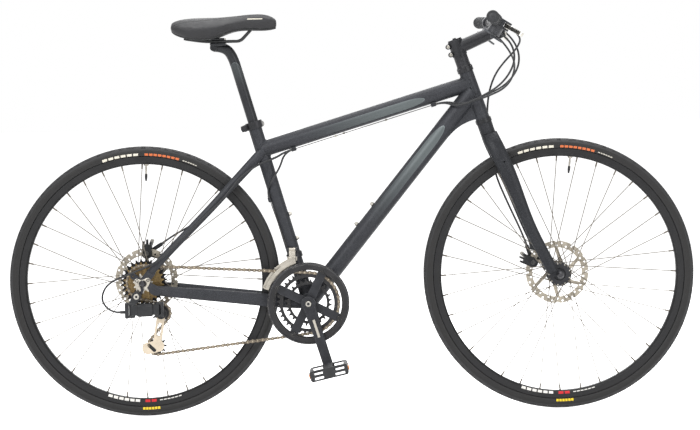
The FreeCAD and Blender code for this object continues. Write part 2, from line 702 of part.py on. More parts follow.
STAY_END_SIDE = DROPOUT_INNER - 3.0
chainstay_front = (BB + V(-104.0, 32.5, 8.0), 33.0)
chainstay_rear = (REAR + V(80.0, STAY_END_SIDE - 1.5, -24.0), 27.0)
chainstay_line = [(BB + V(-6.0, 20.0, 1.0), 34.0), chainstay_front]
chainstay_line += straight_run(chainstay_front, chainstay_rear)
chainstay_line += [chainstay_rear, (CHAINSTAY_END + LEFT * STAY_END_SIDE, 24.0)]
seatstay_foot = (REAR + V(35.0, STAY_END_SIDE, 47.0), 20.0)
SEATSTAY_BENDS = [REAR + V(161.0, 50.0, 168.0), REAR + V(211.0, 37.0, 213.0), REAR + V(247.0, 27.0, 260.0)]
seatstay_bends = list(zip(SEATSTAY_BENDS, (20.0, 22.0, 24.0)))
seatstay_line = [(SEATSTAY_END + LEFT * STAY_END_SIDE, 19.0), seatstay_foot]
seatstay_line += straight_run(seatstay_foot, seatstay_bends[0]) + seatstay_bends
seatstay_line += [(on_seat(TOP_TUBE_SEAT_HEIGHT - 4.0, -2.0, 14.0), 27.0)]
stays = []
for line in (chainstay_line, seatstay_line):
    stays.extend(both_sides(make_stay(line)))
stay_tools = [shell_outside, seat_outside, top_outside] + dropouts
stays = [max(stay.cut(stay_tools).Solids, key=lambda solid: solid.Volume) for stay in stays]
chainstay_bridge = cross_rod(BB + V(-52.0, 0, 5.0), -32.0, 32.0, 7.0)
seatstay_bridge = cross_rod(REAR + V(251.0, 0, 266.0), -27.0, 27.0, 7.0)
bridges = [
    max(chainstay_bridge.cut(stays[:2]).Solids, key=lambda solid: solid.Volume),
    max(seatstay_bridge.cut(stays[2:]).Solids, key=lambda solid: solid.Volume),
]
save("rear_stays", stays + bridges)


# Fork: steerer with crown, and two legs with dropouts and eyelets


STEM_FOOT = CUP_TOP + BODY_GAP + 5.0 + SPACER_STACK
STEM_TOP = STEM_FOOT + STEM_CLAMP_HEIGHT
steerer_outside = rod(on_steer(FORK_LENGTH - CROWN_DEPTH), on_steer(STEM_TOP - 3.0), STEERER_RADIUS)
crown_outside = rod(on_steer(FORK_LENGTH - CROWN_DEPTH), on_steer(FORK_LENGTH), CROWN_RADIUS)
race = rod(on_steer(FORK_LENGTH), on_steer(FORK_LENGTH + RACE_HEIGHT), CUP_RADIUS - 1.5)
steerer = fused([steerer_outside, crown_outside, race])
steerer = steerer.cut(rod(on_steer(FORK_LENGTH - CROWN_DEPTH), on_steer(STEM_TOP), STEERER_RADIUS - STEERER_WALL))

FORK_END = on_steer(14.0, FORK_RAKE - 15.0)
EYELET_HEIGHT = 316.0
EYELET_FORE = 11.0
LEG_SIDE = FRONT_HUB_WIDTH / 2 + 7.0
leg_stations = [
    (on_steer(FORK_LENGTH - 26.0, 2.0, 14.0), 20.0, 13.0),
    (on_steer(FORK_LENGTH - 66.0, 5.0, LEG_SIDE - 17.0), 21.0, 12.0),
    (on_steer(FORK_LENGTH - 104.0, 9.0, LEG_SIDE - 11.0), 20.5, 12.0),
    (on_steer(198.0, 15.0, LEG_SIDE - 6.0), 16.0, 11.0),
    (on_steer(60.0, FORK_RAKE - 21.0, LEG_SIDE - 1.0), 15.0, 10.0),
    (FORK_END + LEFT * LEG_SIDE, 13.0, 9.0),
]
leg = lofted_tube([(point, STEER_FORE * wide, LEFT * thick) for point, wide, thick in leg_stations], LEG_WALL)
tab_low = FRONT_HUB_WIDTH / 2
leg = fused([leg, slot_plate(FORK_END, FRONT, 10.0, tab_low, DROPOUT_OUTER_FRONT)])
EYELET_AT = on_steer(EYELET_HEIGHT, EYELET_FORE)
EYELET_FACE = LEG_SIDE + 1.5
leg = leg.fuse(cross_rod(EYELET_AT, EYELET_FACE - EYELET_DEPTH - 2.0, EYELET_FACE, EYELET_BOSS_RADIUS))
end_slot = slot_plate(FRONT, FRONT - STEER_UP * 20.0, FRONT_AXLE_RADIUS + 0.1, tab_low, DROPOUT_OUTER_FRONT)
eyelet_hole = cross_rod(EYELET_AT, EYELET_FACE - EYELET_DEPTH, EYELET_FACE, EYELET_RADIUS)
leg = leg.cut([crown_outside, steerer_outside, end_slot, eyelet_hole])
leg = max(leg.Solids, key=lambda solid: solid.Volume)
fork_legs = both_sides(leg)
save("fork", [steerer] + fork_legs)


# Stem with spacers, top cap, face plate bolts


spacer_bore = STEERER_RADIUS + TOUCH
cover = cone(on_steer(CUP_TOP + BODY_GAP), on_steer(CUP_TOP + BODY_GAP + 5.0), CUP_RADIUS, SPACER_RADIUS)
cover = cover.cut(rod(on_steer(CUP_TOP), on_steer(STEM_FOOT), spacer_bore))
spacers = []
for index in range(3):
    foot = CUP_TOP + BODY_GAP + 5.0 + SPACER_STACK / 3 * index
    spacers.append(tube(on_steer(foot), on_steer(foot + SPACER_STACK / 3), SPACER_RADIUS, spacer_bore))
stem_axis = STEER_FORE * math.cos(math.radians(STEM_RISE)) + STEER_UP * math.sin(math.radians(STEM_RISE))
STEM_MIDDLE = on_steer((STEM_FOOT + STEM_TOP) / 2)
BAR_CENTRE = STEM_MIDDLE + stem_axis * STEM_LENGTH
BAR_CLAMP_WIDTH = 44.0
stem_clamp = rod(on_steer(STEM_FOOT), on_steer(STEM_TOP), STEM_CLAMP_RADIUS)
stem_arm = cone(STEM_MIDDLE, BAR_CENTRE, STEM_CLAMP_RADIUS - 2.0, STEM_CLAMP_RADIUS - 4.0)
bar_clamp = cross_rod(BAR_CENTRE, -BAR_CLAMP_WIDTH / 2, BAR_CLAMP_WIDTH / 2, BAR_CLAMP_RADIUS + 6.0)
stem = fused([stem_clamp, stem_arm, bar_clamp])
stem = stem.cut([
    rod(on_steer(STEM_FOOT), on_steer(STEM_TOP), spacer_bore),
    cross_rod(BAR_CENTRE, -BAR_CLAMP_WIDTH / 2, BAR_CLAMP_WIDTH / 2, BAR_CLAMP_RADIUS + TOUCH),
])
top_cap = rod(on_steer(STEM_TOP), on_steer(STEM_TOP + 3.5), SPACER_RADIUS)
cap_bolt = rod(on_steer(STEM_TOP + 3.5), on_steer(STEM_TOP + 6.5), 4.5)
save("stem", [cover] + spacers + [stem, top_cap, cap_bolt])


# Handlebar, grips


BAR_CORNER = BAR_CENTRE + V(-6.0, -120.0, BAR_RISE)
BAR_END = BAR_CENTRE + V(-BAR_SWEEP, -BAR_HALF_WIDTH, BAR_RISE + 5.0)
BAR_FLAT = BAR_CENTRE + V(0, -45.0, 0)


def flipped(point):
    return V(point.x, -point.y, point.z)


bar_line = [BAR_END, BAR_CORNER, BAR_FLAT, flipped(BAR_FLAT), flipped(BAR_CORNER), flipped(BAR_END)]
bar = swept(bar_line, BAR_RADIUS)
sleeve = cross_rod(BAR_CENTRE, -BAR_CLAMP_WIDTH / 2 - 2.0, BAR_CLAMP_WIDTH / 2 + 2.0, BAR_CLAMP_RADIUS)
bar = bar.fuse(sleeve).cut(swept(bar_line, BAR_RADIUS - BAR_WALL))
save("handlebar", [bar])
GRIP_OUT = unit(BAR_END - BAR_CORNER)
grip_low = BAR_END - GRIP_OUT * GRIP_LENGTH
grip = tube(grip_low, BAR_END, GRIP_RADIUS, BAR_RADIUS + TOUCH)
grip = grip.fuse(rod(BAR_END, BAR_END + GRIP_OUT * 2.5, GRIP_RADIUS))
save("grips", both_sides(grip))


# Brake and shift units on the bar, in a local frame: X outward along the bar,
# Y forward and down towards the brake lever, Z up from the lever's plane


POD_AT = grip_low - GRIP_OUT * 14.0
lean = math.radians(LEVER_TILT)
LEVER_NORMAL = V(math.sin(lean), 0, math.cos(lean))
LEVER_NORMAL = unit(LEVER_NORMAL - GRIP_OUT * LEVER_NORMAL.dot(GRIP_OUT))
LEVER_FORE = LEVER_NORMAL.cross(GRIP_OUT)
LEVER_PIVOT = V(-4.0, 32.0, 0)
LEVER_PIN_RADIUS = 2.5
EAR_INNER = 6.5
EAR_OUTER = 11.0
SHIFT_PIVOT = V(-30.0, 12.0, 0)
SHIFT_PIN_RADIUS = 3.0
POD_FLOOR = -32.0
THUMB_THICKNESS = 5.0
RELEASE_THICKNESS = 4.0


def at_pod(shape):
    return placed(shape, POD_AT, GRIP_OUT, LEVER_NORMAL)


def pod_point(local):
    return POD_AT + GRIP_OUT * local.x + LEVER_FORE * local.y + LEVER_NORMAL * local.z


def flat_bar(start, end, radius, low, high):
    """Round-ended bar in the local XY plane between two Z values."""
    along = unit(end - start)
    across = V(-along.y, along.x, 0) * radius
    lift = V(0, 0, low)
    a = start + lift
    b = end + lift
    edges = [
        Part.LineSegment(a + across, b + across).toShape(),
        Part.Arc(b + across, b + along * radius, b - across).toShape(),
        Part.LineSegment(b - across, a - across).toShape(),
        Part.Arc(a - across, a - along * radius, a + across).toShape(),
    ]
    return Part.Face(Part.Wire(edges)).extrude(V(0, 0, high - low))


clamp = Part.makeCylinder(BAR_RADIUS + 4.5, 16.0, V(-8.0, 0, 0), V(1, 0, 0))
neck = Part.makeBox(16.0, 18.0, 2 * EAR_OUTER, V(-12.0, 5.0, -EAR_OUTER))
ears = []
for low, high in ((EAR_INNER, EAR_OUTER), (-EAR_OUTER, -EAR_INNER)):
    ears.append(flat_bar(V(-4.0, 14.0, 0), LEVER_PIVOT, 8.0, low, high))
lever_pin = Part.makeCylinder(LEVER_PIN_RADIUS, 2 * EAR_OUTER, V(LEVER_PIVOT.x, LEVER_PIVOT.y, -EAR_OUTER))
pod = flat_bar(V(-8.0, 10.0, 0), SHIFT_PIVOT, 15.0, POD_FLOOR, -EAR_INNER - 2.0)
shift_pin = Part.makeCylinder(SHIFT_PIN_RADIUS, 14.0, V(SHIFT_PIVOT.x, SHIFT_PIVOT.y, POD_FLOOR - 13.0))
BRAKE_EXIT = V(-12.0, 18.0, 4.0)
SHIFT_EXIT = V(-44.0, 16.0, -20.0)
barrels = [
    Part.makeCylinder(4.5, 14.0, BRAKE_EXIT, V(-1, 0, 0)),
    Part.makeCylinder(4.5, 12.0, SHIFT_EXIT + V(4.0, 0, 0), V(-1, 0, 0)),
]
unit_body = fused([clamp, neck, pod, lever_pin, shift_pin] + ears + barrels)
control_unit = at_pod(unit_body).cut(swept(bar_line, BAR_RADIUS + TOUCH))
control_unit = max(control_unit.Solids, key=lambda solid: solid.Volume)
save("control_units", both_sides(control_unit))

LEVER_LINE = [LEVER_PIVOT, V(14.0, 43.0, 0), V(46.0, 51.0, 0), V(80.0, 63.0, 0), V(103.0, 78.0, 0)]
blade_low = -5.0
blade_high = 5.0
blade = [flat_bar(start, end, 5.5, blade_low, blade_high) for start, end in zip(LEVER_LINE, LEVER_LINE[1:])]
boss = Part.makeCylinder(7.5, 2 * EAR_INNER - 2 * BODY_GAP, V(LEVER_PIVOT.x, LEVER_PIVOT.y, -EAR_INNER + BODY_GAP))
lever_bore = Part.makeCylinder(LEVER_PIN_RADIUS + RUNNING, 30.0, V(LEVER_PIVOT.x, LEVER_PIVOT.y, -15.0))
brake_lever = at_pod(fused(blade + [boss]).cut(lever_bore))
save("brake_lever_right", [brake_lever])
save("brake_lever_left", [mirrored(brake_lever)])

thumb_top = POD_FLOOR - BODY_GAP
thumb_low = thumb_top - THUMB_THICKNESS
release_top = thumb_low - BODY_GAP
release_low = release_top - RELEASE_THICKNESS
shift_bore = Part.makeCylinder(SHIFT_PIN_RADIUS + RUNNING, 30.0, V(SHIFT_PIVOT.x, SHIFT_PIVOT.y, POD_FLOOR - 20.0))
thumb = flat_bar(SHIFT_PIVOT, SHIFT_PIVOT + V(36.0, -16.0, 0), 7.0, thumb_low, thumb_top)
release = flat_bar(SHIFT_PIVOT, SHIFT_PIVOT + V(20.0, 24.0, 0), 5.5, release_low, release_top)
for name, shape in (("thumb_lever", thumb), ("release_lever", release)):
    lever = at_pod(shape.cut(shift_bore))
    save(name + "_right", [lever])
    save(name + "_left", [mirrored(lever)])
print("brake lever pivot", pod_point(LEVER_PIVOT), "axis", LEVER_NORMAL)
print("shift lever pivot", pod_point(SHIFT_PIVOT))


# Brake calipers over the rotors, each with its cable arm


PISTON_RADIUS = 14.0
CALIPER_REACH = 67.0
PAD_GAP = 1.6
ARM_PIN_RADIUS = 4.0
ARM_LENGTH = 34.0
STOP_REACH = 42.0


def cable_stop(centre, angle, rotor_side, stop_angle):
    """Middle of the cable stop that stands off a caliper, beside its arm."""
    middle = round_points(centre, CALIPER_REACH, angle)
    side = rotor_side + ROTOR_THICKNESS / 2 + PAD_GAP + 11.5
    return round_points(middle, STOP_REACH, stop_angle, side)


def make_caliper(centre, angle, rotor_side, bracket_to, stop_angle, cutters):
    """Caliper body: two halves bridged outside the rotor, a cable stop, and a bracket to the frame or fork."""
    middle = round_points(centre, CALIPER_REACH, angle)
    stop = cable_stop(centre, angle, rotor_side, stop_angle)
    half = ROTOR_THICKNESS / 2 + PAD_GAP
    outer = cross_rod(middle, rotor_side + half, rotor_side + half + 16.0, PISTON_RADIUS)
    inner = cross_rod(middle, rotor_side - half - 9.0, rotor_side - half, PISTON_RADIUS - 1.0)
    turn = math.radians(angle)
    along = V(math.cos(turn), 0, math.sin(turn))
    bridge_box = Part.makeBox(9.0, 24.0, 25.0 + 2 * half, V(ROTOR_RADIUS + 2.0, -12.0, -9.0 - half))
    bridge = placed(bridge_box, V(centre.x, rotor_side, centre.z), along, LEFT)
    links = []
    for low, high in ((-9.0 - half, -half), (half, half + 16.0)):
        box = Part.makeBox(24.0, 24.0, high - low, V(CALIPER_REACH - 4.0, -12.0, low))
        links.append(placed(box, V(centre.x, rotor_side, centre.z), along, LEFT))
    bracket = slot_plate(middle, bracket_to, 7.0, rotor_side + half + 5.0, rotor_side + half + 12.0)
    arm_pin = cross_rod(middle, rotor_side + half + 16.0, rotor_side + half + 23.0, ARM_PIN_RADIUS)
    stop_arm = slot_plate(middle, stop, 5.0, stop.y - 4.0, stop.y + 4.0)
    body = fused([outer, inner, bridge, bracket, arm_pin, stop_arm] + links).cut(cutters)
    return max(body.Solids, key=lambda solid: solid.Volume)


def make_caliper_arm(centre, angle, rotor_side, arm_angle):
    middle = round_points(centre, CALIPER_REACH, angle)
    low = rotor_side + ROTOR_THICKNESS / 2 + PAD_GAP + 16.0 + BODY_GAP
    end = round_points(middle, ARM_LENGTH, arm_angle)
    arm = fused([slot_plate(middle, end, 5.0, low, low + 5.0), cross_rod(middle, low, low + 6.0, 9.0)])
    return arm.cut(cross_rod(middle, low - 1.0, low + 7.0, ARM_PIN_RADIUS + RUNNING))


FRONT_CALIPER_ANGLE = 157.0
REAR_CALIPER_ANGLE = 88.0
FRONT_ARM_ANGLE = 140.0
REAR_ARM_ANGLE = 68.0
FRONT_STOP_ANGLE = 108.0
REAR_STOP_ANGLE = 32.0
front_bracket = on_steer(52.0, FORK_RAKE - 21.0)
rear_bracket = REAR + V(44.0, 0, 56.0)
front_caliper = make_caliper(FRONT, FRONT_CALIPER_ANGLE, FRONT_ROTOR_SIDE, front_bracket, FRONT_STOP_ANGLE,
                             fork_legs)
rear_caliper = make_caliper(REAR, REAR_CALIPER_ANGLE, REAR_ROTOR_SIDE, rear_bracket, REAR_STOP_ANGLE,
                            stays + dropouts)
save("front_caliper", [front_caliper])
save("rear_caliper", [rear_caliper])
save("front_caliper_arm", [make_caliper_arm(FRONT, FRONT_CALIPER_ANGLE, FRONT_ROTOR_SIDE, FRONT_ARM_ANGLE)])
save("rear_caliper_arm", [make_caliper_arm(REAR, REAR_CALIPER_ANGLE, REAR_ROTOR_SIDE, REAR_ARM_ANGLE)])


# Drive train layout: sprockets, derailleur pulleys and the chain's path


def pitch_radius(teeth):
    return CHAIN_PITCH / (2 * math.sin(math.pi / teeth))


RING_SIDE = -CHAINLINE
COG_SIDE = -(COG_FIRST + COG_PITCH * RIDDEN_COG)
CAGE_PIVOT = REAR + V(43.0, 0, -78.0)
DRIVING_RING = RING_TEETH[1]
DRIVEN_COG = COG_TEETH[RIDDEN_COG]


def chain_runs(cage_angle):
    """Wraps and straight runs of the chain, in travel order, measured in pitches."""
    tension = round_points(CAGE_PIVOT, CAGE_LENGTH, cage_angle)
    loop = [
        (BB, DRIVING_RING, 1, RING_SIDE), (tension, PULLEY_TEETH, 1, COG_SIDE),
        (CAGE_PIVOT, PULLEY_TEETH, -1, COG_SIDE), (REAR, DRIVEN_COG, 1, COG_SIDE),
    ]
    headings = []
    for first, second in zip(loop, loop[1:] + loop[:1]):
        gap = second[0] - first[0]
        reach = math.hypot(gap.x, gap.z)
        swing = (second[2] * pitch_radius(second[1]) - first[2] * pitch_radius(first[1])) / reach
        headings.append(math.atan2(gap.z, gap.x) + math.asin(swing))
    runs = []
    for index, (centre, teeth, turn, side) in enumerate(loop):
        arrive = headings[index - 1] + turn * math.pi / 2
        leave = headings[index] + turn * math.pi / 2
        wrap = (turn * (arrive - leave)) % (2 * math.pi)
        runs.append(("wrap", wrap * teeth / (2 * math.pi), centre, teeth, turn, side, arrive))
        following = loop[(index + 1) % len(loop)]
        start = round_points(centre, pitch_radius(teeth), math.degrees(leave), side)
        end = round_points(following[0], pitch_radius(following[1]),
                           math.degrees(headings[index] + following[2] * math.pi / 2), following[3])
        runs.append(("straight", (end - start).Length / CHAIN_PITCH, start, end))
    return runs


def chain_excess(cage_angle):
    return sum(run[1] for run in chain_runs(cage_angle)) - CHAIN_LINKS


# The sprung cage swings until the chain's path is exactly its number of links
low_angle = 215.0
high_angle = 300.0
for step in range(60):
    CAGE_ANGLE = (low_angle + high_angle) / 2
    if chain_excess(CAGE_ANGLE) > 0:
        low_angle = CAGE_ANGLE
    else:
        high_angle = CAGE_ANGLE
TENSION_PIVOT = round_points(CAGE_PIVOT, CAGE_LENGTH, CAGE_ANGLE)
print("cage angle", round(CAGE_ANGLE, 2), "tension pulley", TENSION_PIVOT, "excess", chain_excess(CAGE_ANGLE))

# Near a sprocket the chain runs straight for this many pitches before it leans to the next one
SKEW_FREE = 2.0
rollers = []
phases = {}
passed = 0.0
for run in chain_runs(CAGE_ANGLE):
    number = math.ceil(passed - 1e-6)
    while number < passed + run[1] - 1e-6 and number < CHAIN_LINKS:
        share = number - passed
        if run[0] == "wrap":
            centre, teeth, turn, side, arrive = run[2:]
            angle = math.degrees(arrive - turn * share * 2 * math.pi / teeth)
            phases.setdefault((centre.x, centre.z), angle)
            rollers.append(round_points(centre, pitch_radius(teeth), angle, side))
        else:
            start, end = run[2:]
            point = start + (end - start) * (share / run[1])
            lean = (share - SKEW_FREE) / max(run[1] - 2 * SKEW_FREE, 1.0)
            point.y = start.y + (end.y - start.y) * min(max(lean, 0.0), 1.0)
            rollers.append(point)
        number += 1
    passed += run[1]


def phase_at(centre):
    return phases[(centre.x, centre.z)]


def link_plates(inner):
    side = LINK_INSIDE / 2 if inner else LINK_INSIDE / 2 + LINK_PLATE + LINK_PLAY
    start = V(-CHAIN_PITCH / 2, 0, 0)
    end = V(CHAIN_PITCH / 2, 0, 0)
    return [slot_plate(start, end, LINK_RADIUS, low, low + LINK_PLATE) for low in (side, -side - LINK_PLATE)]


def make_inner_link():
    half = LINK_INSIDE / 2 + LINK_PLATE
    ends = [V(-CHAIN_PITCH / 2, 0, 0), V(CHAIN_PITCH / 2, 0, 0)]
    bushes = [cross_rod(end, -half, half, ROLLER_RADIUS) for end in ends]
    holes = [cross_rod(end, -half, half, PIN_RADIUS + LINK_PLAY) for end in ends]
    return fused(link_plates(True) + bushes).cut(holes)


def make_outer_link():
    half = LINK_INSIDE / 2 + 2 * LINK_PLATE + LINK_PLAY + 0.25
    ends = [V(-CHAIN_PITCH / 2, 0, 0), V(CHAIN_PITCH / 2, 0, 0)]
    pins = [cross_rod(end, -half, half, PIN_RADIUS) for end in ends]
    return fused(link_plates(False) + pins)


inner_link = make_inner_link()
outer_link = make_outer_link()
chain = []
for index, (start, end) in enumerate(zip(rollers, rollers[1:] + rollers[:1])):
    along = unit(end - start)
    side = unit(LEFT - along * LEFT.dot(along))
    link = inner_link if index % 2 == 0 else outer_link
    chain.append(placed(link, (start + end) / 2, along, along.cross(side)))
save("chain", chain)


def sprocket(teeth, centre, side, phase, bore):
    """Toothed disc whose gaps seat the chain's rollers; phase is the angle of one gap."""
    radius = pitch_radius(teeth)
    seat = ROLLER_RADIUS + ROLLER_CLEARANCE
    step = 360.0 / teeth
    tip_radius = radius + TOOTH_RISE
    tip_angle = math.degrees(TOOTH_TIP / tip_radius)
    low = side - SPROCKET_THICKNESS / 2
    edges = []
    for index in range(teeth):
        gap = phase + step * index
        turn = math.radians(gap)
        out = V(math.cos(turn), 0, math.sin(turn))
        across = V(-out.z, 0, out.x)
        middle = round_points(centre, radius, gap, low)
        first_tip = round_points(centre, tip_radius, gap + step / 2 - tip_angle, low)
        last_tip = round_points(centre, tip_radius, gap + step / 2 + tip_angle, low)
        turn += math.radians(step)
        next_across = V(-math.sin(turn), 0, math.cos(turn))
        next_left = round_points(centre, radius, gap + step, low) - next_across * seat
        right = middle + across * seat
        edges.append(Part.Arc(middle - across * seat, middle - out * seat, right).toShape())
        edges.append(Part.LineSegment(right, first_tip).toShape())
        edges.append(Part.LineSegment(first_tip, last_tip).toShape())
        edges.append(Part.LineSegment(last_tip, next_left).toShape())
    disc = Part.Face(Part.Wire(edges)).extrude(V(0, SPROCKET_THICKNESS, 0))
    return disc.cut(cross_rod(centre, low, low + SPROCKET_THICKNESS, bore))


# Cassette on its freehub body


cogs = []
for index, teeth in enumerate(COG_TEETH):
    phase = phase_at(REAR) if index == RIDDEN_COG else 90.0
    cogs.append(sprocket(teeth, REAR, -(COG_FIRST + COG_PITCH * index), phase, FREEHUB_RADIUS + TOUCH))
cassette_end = COG_FIRST + COG_PITCH * (len(COG_TEETH) - 1) + 0.85
freehub = wheel_turned([
    (REAR_AXLE_RADIUS + RUNNING, REAR_HUB_ENDS[0] - BODY_GAP), (FREEHUB_RADIUS, REAR_HUB_ENDS[0] - BODY_GAP),
    (FREEHUB_RADIUS, -cassette_end), (FREEHUB_RADIUS - 1.5, -cassette_end),
    (FREEHUB_RADIUS - 1.5, -cassette_end - 2.2), (REAR_AXLE_RADIUS + RUNNING, -cassette_end - 2.2),
], REAR)
save("cassette", [freehub] + cogs)


# Crankset: arms with spindle, chainrings with guard


OUTER_RING_SIDE = RING_SIDE - RING_PITCH
SPIDER_INNER = RING_SIDE - SPROCKET_THICKNESS / 2
SPIDER_OUTER = OUTER_RING_SIDE + SPROCKET_THICKNESS / 2
rings = []
for index, (teeth, bore) in enumerate(zip(RING_TEETH, RING_BORES)):
    phase = phase_at(BB) if teeth == DRIVING_RING else 90.0
    rings.append(sprocket(teeth, BB, RING_SIDE - (index - 1) * RING_PITCH, phase, bore))
guard_high = OUTER_RING_SIDE - SPROCKET_THICKNESS / 2 - GUARD_STANDOFF
guard_low = guard_high - GUARD_THICKNESS
guard = cross_rod(BB, guard_low, guard_high, GUARD_RADIUS)
guard = guard.cut(cross_rod(BB, guard_low, guard_high, GUARD_RADIUS - GUARD_BAND))
posts = []
small_posts = []
for angle in SPIDER_ANGLES:
    far = round_points(BB, GUARD_RADIUS - GUARD_BAND, angle)
    near = round_points(BB, RING_BORES[0] + 4.5, angle)
    posts.append(cross_rod(far, guard_low, guard_high + GUARD_STANDOFF, 5.5))
    small_posts.append(cross_rod(near, SPIDER_INNER, RING_SIDE + RING_PITCH - SPROCKET_THICKNESS / 2, 4.0))
save("chainrings", rings + [fused([guard] + posts)] + small_posts)

CRANK_DOWN = V(math.sin(math.radians(CRANK_LEAN)), 0, -math.cos(math.radians(CRANK_LEAN)))


def crank_arm(down, sign):
    """Tapered arm that flares outward to the pedal, with round bosses at both ends."""
    across = V(-down.z, 0, down.x)
    sections = []
    for reach, width in ((0.0, 34.0), (CRANK_LENGTH * 0.45, 26.0), (CRANK_LENGTH, 25.0)):
        inner = CRANK_INSET + CRANK_FLARE * reach / CRANK_LENGTH
        outer = inner + CRANK_THICKNESS
        chamfer = 3.0
        corners = []
        for side, edge in (
                (inner, -1), (inner, 1), (outer - chamfer, 1.0), (outer, 1 - 2 * chamfer / width),
                (outer, -1 + 2 * chamfer / width), (outer - chamfer, -1.0)):
            corners.append(BB + down * reach + across * (edge * width / 2) + LEFT * (sign * side))
        sections.append(Part.makePolygon(corners + corners[:1]))
    arm = Part.makeLoft(sections, True, True)
    tip = BB + down * CRANK_LENGTH
    tip_inner = CRANK_INSET + CRANK_FLARE
    root = cross_rod(BB, sign * CRANK_INSET, sign * (CRANK_INSET + CRANK_THICKNESS), 18.5)
    pedal_boss = cross_rod(tip, sign * tip_inner, sign * (tip_inner + CRANK_THICKNESS), 14.0)
    return fused([arm, root, pedal_boss])


CRANK_FOOT = SHELL_WIDTH / 2 + 2.0 + BODY_GAP
right_parts = [crank_arm(CRANK_DOWN, -1), cross_rod(BB, -CRANK_INSET - 1, -CRANK_FOOT, 17.0)]
for angle in SPIDER_ANGLES:
    right_parts.append(slot_plate(BB, round_points(BB, SPIDER_REACH, angle), SPIDER_ARM_WIDTH / 2,
                                  SPIDER_OUTER, SPIDER_INNER))
    right_parts.append(slot_plate(BB, round_points(BB, RING_BORES[2] - 4.0, angle), SPIDER_ARM_WIDTH / 2,
                                  SPIDER_OUTER, RING_SIDE - SPIDER_STEP))
spindle_reach = CRANK_INSET + CRANK_THICKNESS - 4.0
spindle = cross_rod(BB, -spindle_reach, spindle_reach, SPINDLE_RADIUS)
bolt_caps = []
for sign in (-1, 1):
    cap_foot = sign * (spindle_reach + TOUCH)
    bolt_caps.append(cross_rod(BB, cap_foot, sign * (spindle_reach + 5.5), SPINDLE_RADIUS - 0.5))
spindle_hole = cross_rod(BB, -spindle_reach - 10, spindle_reach + 10, SPINDLE_RADIUS + TOUCH)
right_crank = fused(right_parts).cut(spindle_hole)
left_parts = [crank_arm(CRANK_DOWN * -1, 1), cross_rod(BB, CRANK_FOOT, CRANK_INSET + 1, 15.0)]
left_crank = fused(left_parts).cut(spindle_hole)

PEDAL_INNER = CRANK_INSET + CRANK_FLARE + CRANK_THICKNESS + 3.0
PEDAL_OUTER = PEDAL_INNER + PEDAL_WIDTH
RIGHT_PEDAL = BB + CRANK_DOWN * CRANK_LENGTH
LEFT_PEDAL = BB - CRANK_DOWN * CRANK_LENGTH
axles = []
for point, sign in ((RIGHT_PEDAL, -1), (LEFT_PEDAL, 1)):
    root = cross_rod(point, sign * (PEDAL_INNER - 3.0), sign * (PEDAL_INNER - BODY_GAP), 8.5)
    stub = cross_rod(point, sign * (PEDAL_INNER - 3.0), sign * (PEDAL_OUTER - 6.0), PEDAL_AXLE_RADIUS)
    axles.append(root.fuse(stub))
save("crank_arms", [right_crank, left_crank, spindle] + bolt_caps + axles)


# Pedals: moulded platforms with a barrel that runs on the axle


def make_pedal(point, sign, tilt):
    low, high = sorted((sign * PEDAL_INNER, sign * PEDAL_OUTER))
    half = PEDAL_LENGTH / 2
    thick = PEDAL_THICKNESS / 2
    rim = 9.0
    outline = [
        V(-half, 0, -thick + 4), V(-half, 0, thick - 4), V(-half + 4, 0, thick), V(half - 4, 0, thick),
        V(half, 0, thick - 4), V(half, 0, -thick + 4), V(half - 4, 0, -thick), V(-half + 4, 0, -thick),
    ]
    body = plate(outline, low, high)
    barrel = PEDAL_AXLE_RADIUS + 5.0
    cuts = []
    for front in (1, -1):
        near, far = sorted((front * (barrel - 1.0), front * (half - rim)))
        cuts.append(block(V(near, low + rim, -thick), V(far, high - rim, thick)))
        nearer, farther = sorted((front * (barrel + 4.0), front * (half - rim)))
        for foot in (2.0, -thick + 3.5):
            cuts.append(block(V(nearer, low, foot), V(farther, high, foot + thick - 5.5)))
    body = fused([body.cut(cuts), cross_rod(V(0, 0, 0), low, high, barrel)])
    hole_low, hole_high = sorted((sign * PEDAL_INNER, sign * (PEDAL_OUTER - 5.0)))
    body = body.cut(cross_rod(V(0, 0, 0), hole_low, hole_high, PEDAL_AXLE_RADIUS + RUNNING))
    body.rotate(V(0, 0, 0), LEFT, -tilt)
    body.translate(V(point.x, 0, point.z))
    return body


save("pedal_right", [make_pedal(RIGHT_PEDAL, -1, PEDAL_TILT)])
save("pedal_left", [make_pedal(LEFT_PEDAL, 1, 90.0 + 90.0 - SEAT_ANGLE)])


# Rear derailleur: mount knuckle on the hanger, link, lower knuckle, cage, pulleys


LINK_PIN_RADIUS = 3.0
LINK_BARREL = 7.5
LINK_LOW = REAR.z - 79.0
LINK_HIGH = REAR.z - 53.0
EAR_THICKNESS = 5.0
MOUNT_PIN = V(REAR.x - 27.0, -83.0, 0)
KNUCKLE_PIN = V(REAR.x + 35.0, COG_SIDE - 28.0, 0)


def upright(point, low, high, radius):
    return rod(V(point.x, point.y, low), V(point.x, point.y, high), radius)


def ear_pair(point, toward_x):
    """Two flat ears above and below the link barrel, running to a wall at one side."""
    ears = []
    for low, high in ((LINK_HIGH + BODY_GAP, LINK_HIGH + BODY_GAP + EAR_THICKNESS),
                      (LINK_LOW - BODY_GAP - EAR_THICKNESS, LINK_LOW - BODY_GAP)):
        ear = upright(point, low, high, LINK_BARREL)
        left, right = sorted((point.x, toward_x))
        ears.append(ear.fuse(block(V(left, point.y - LINK_BARREL, low), V(right, point.y + LINK_BARREL, high))))
    return ears


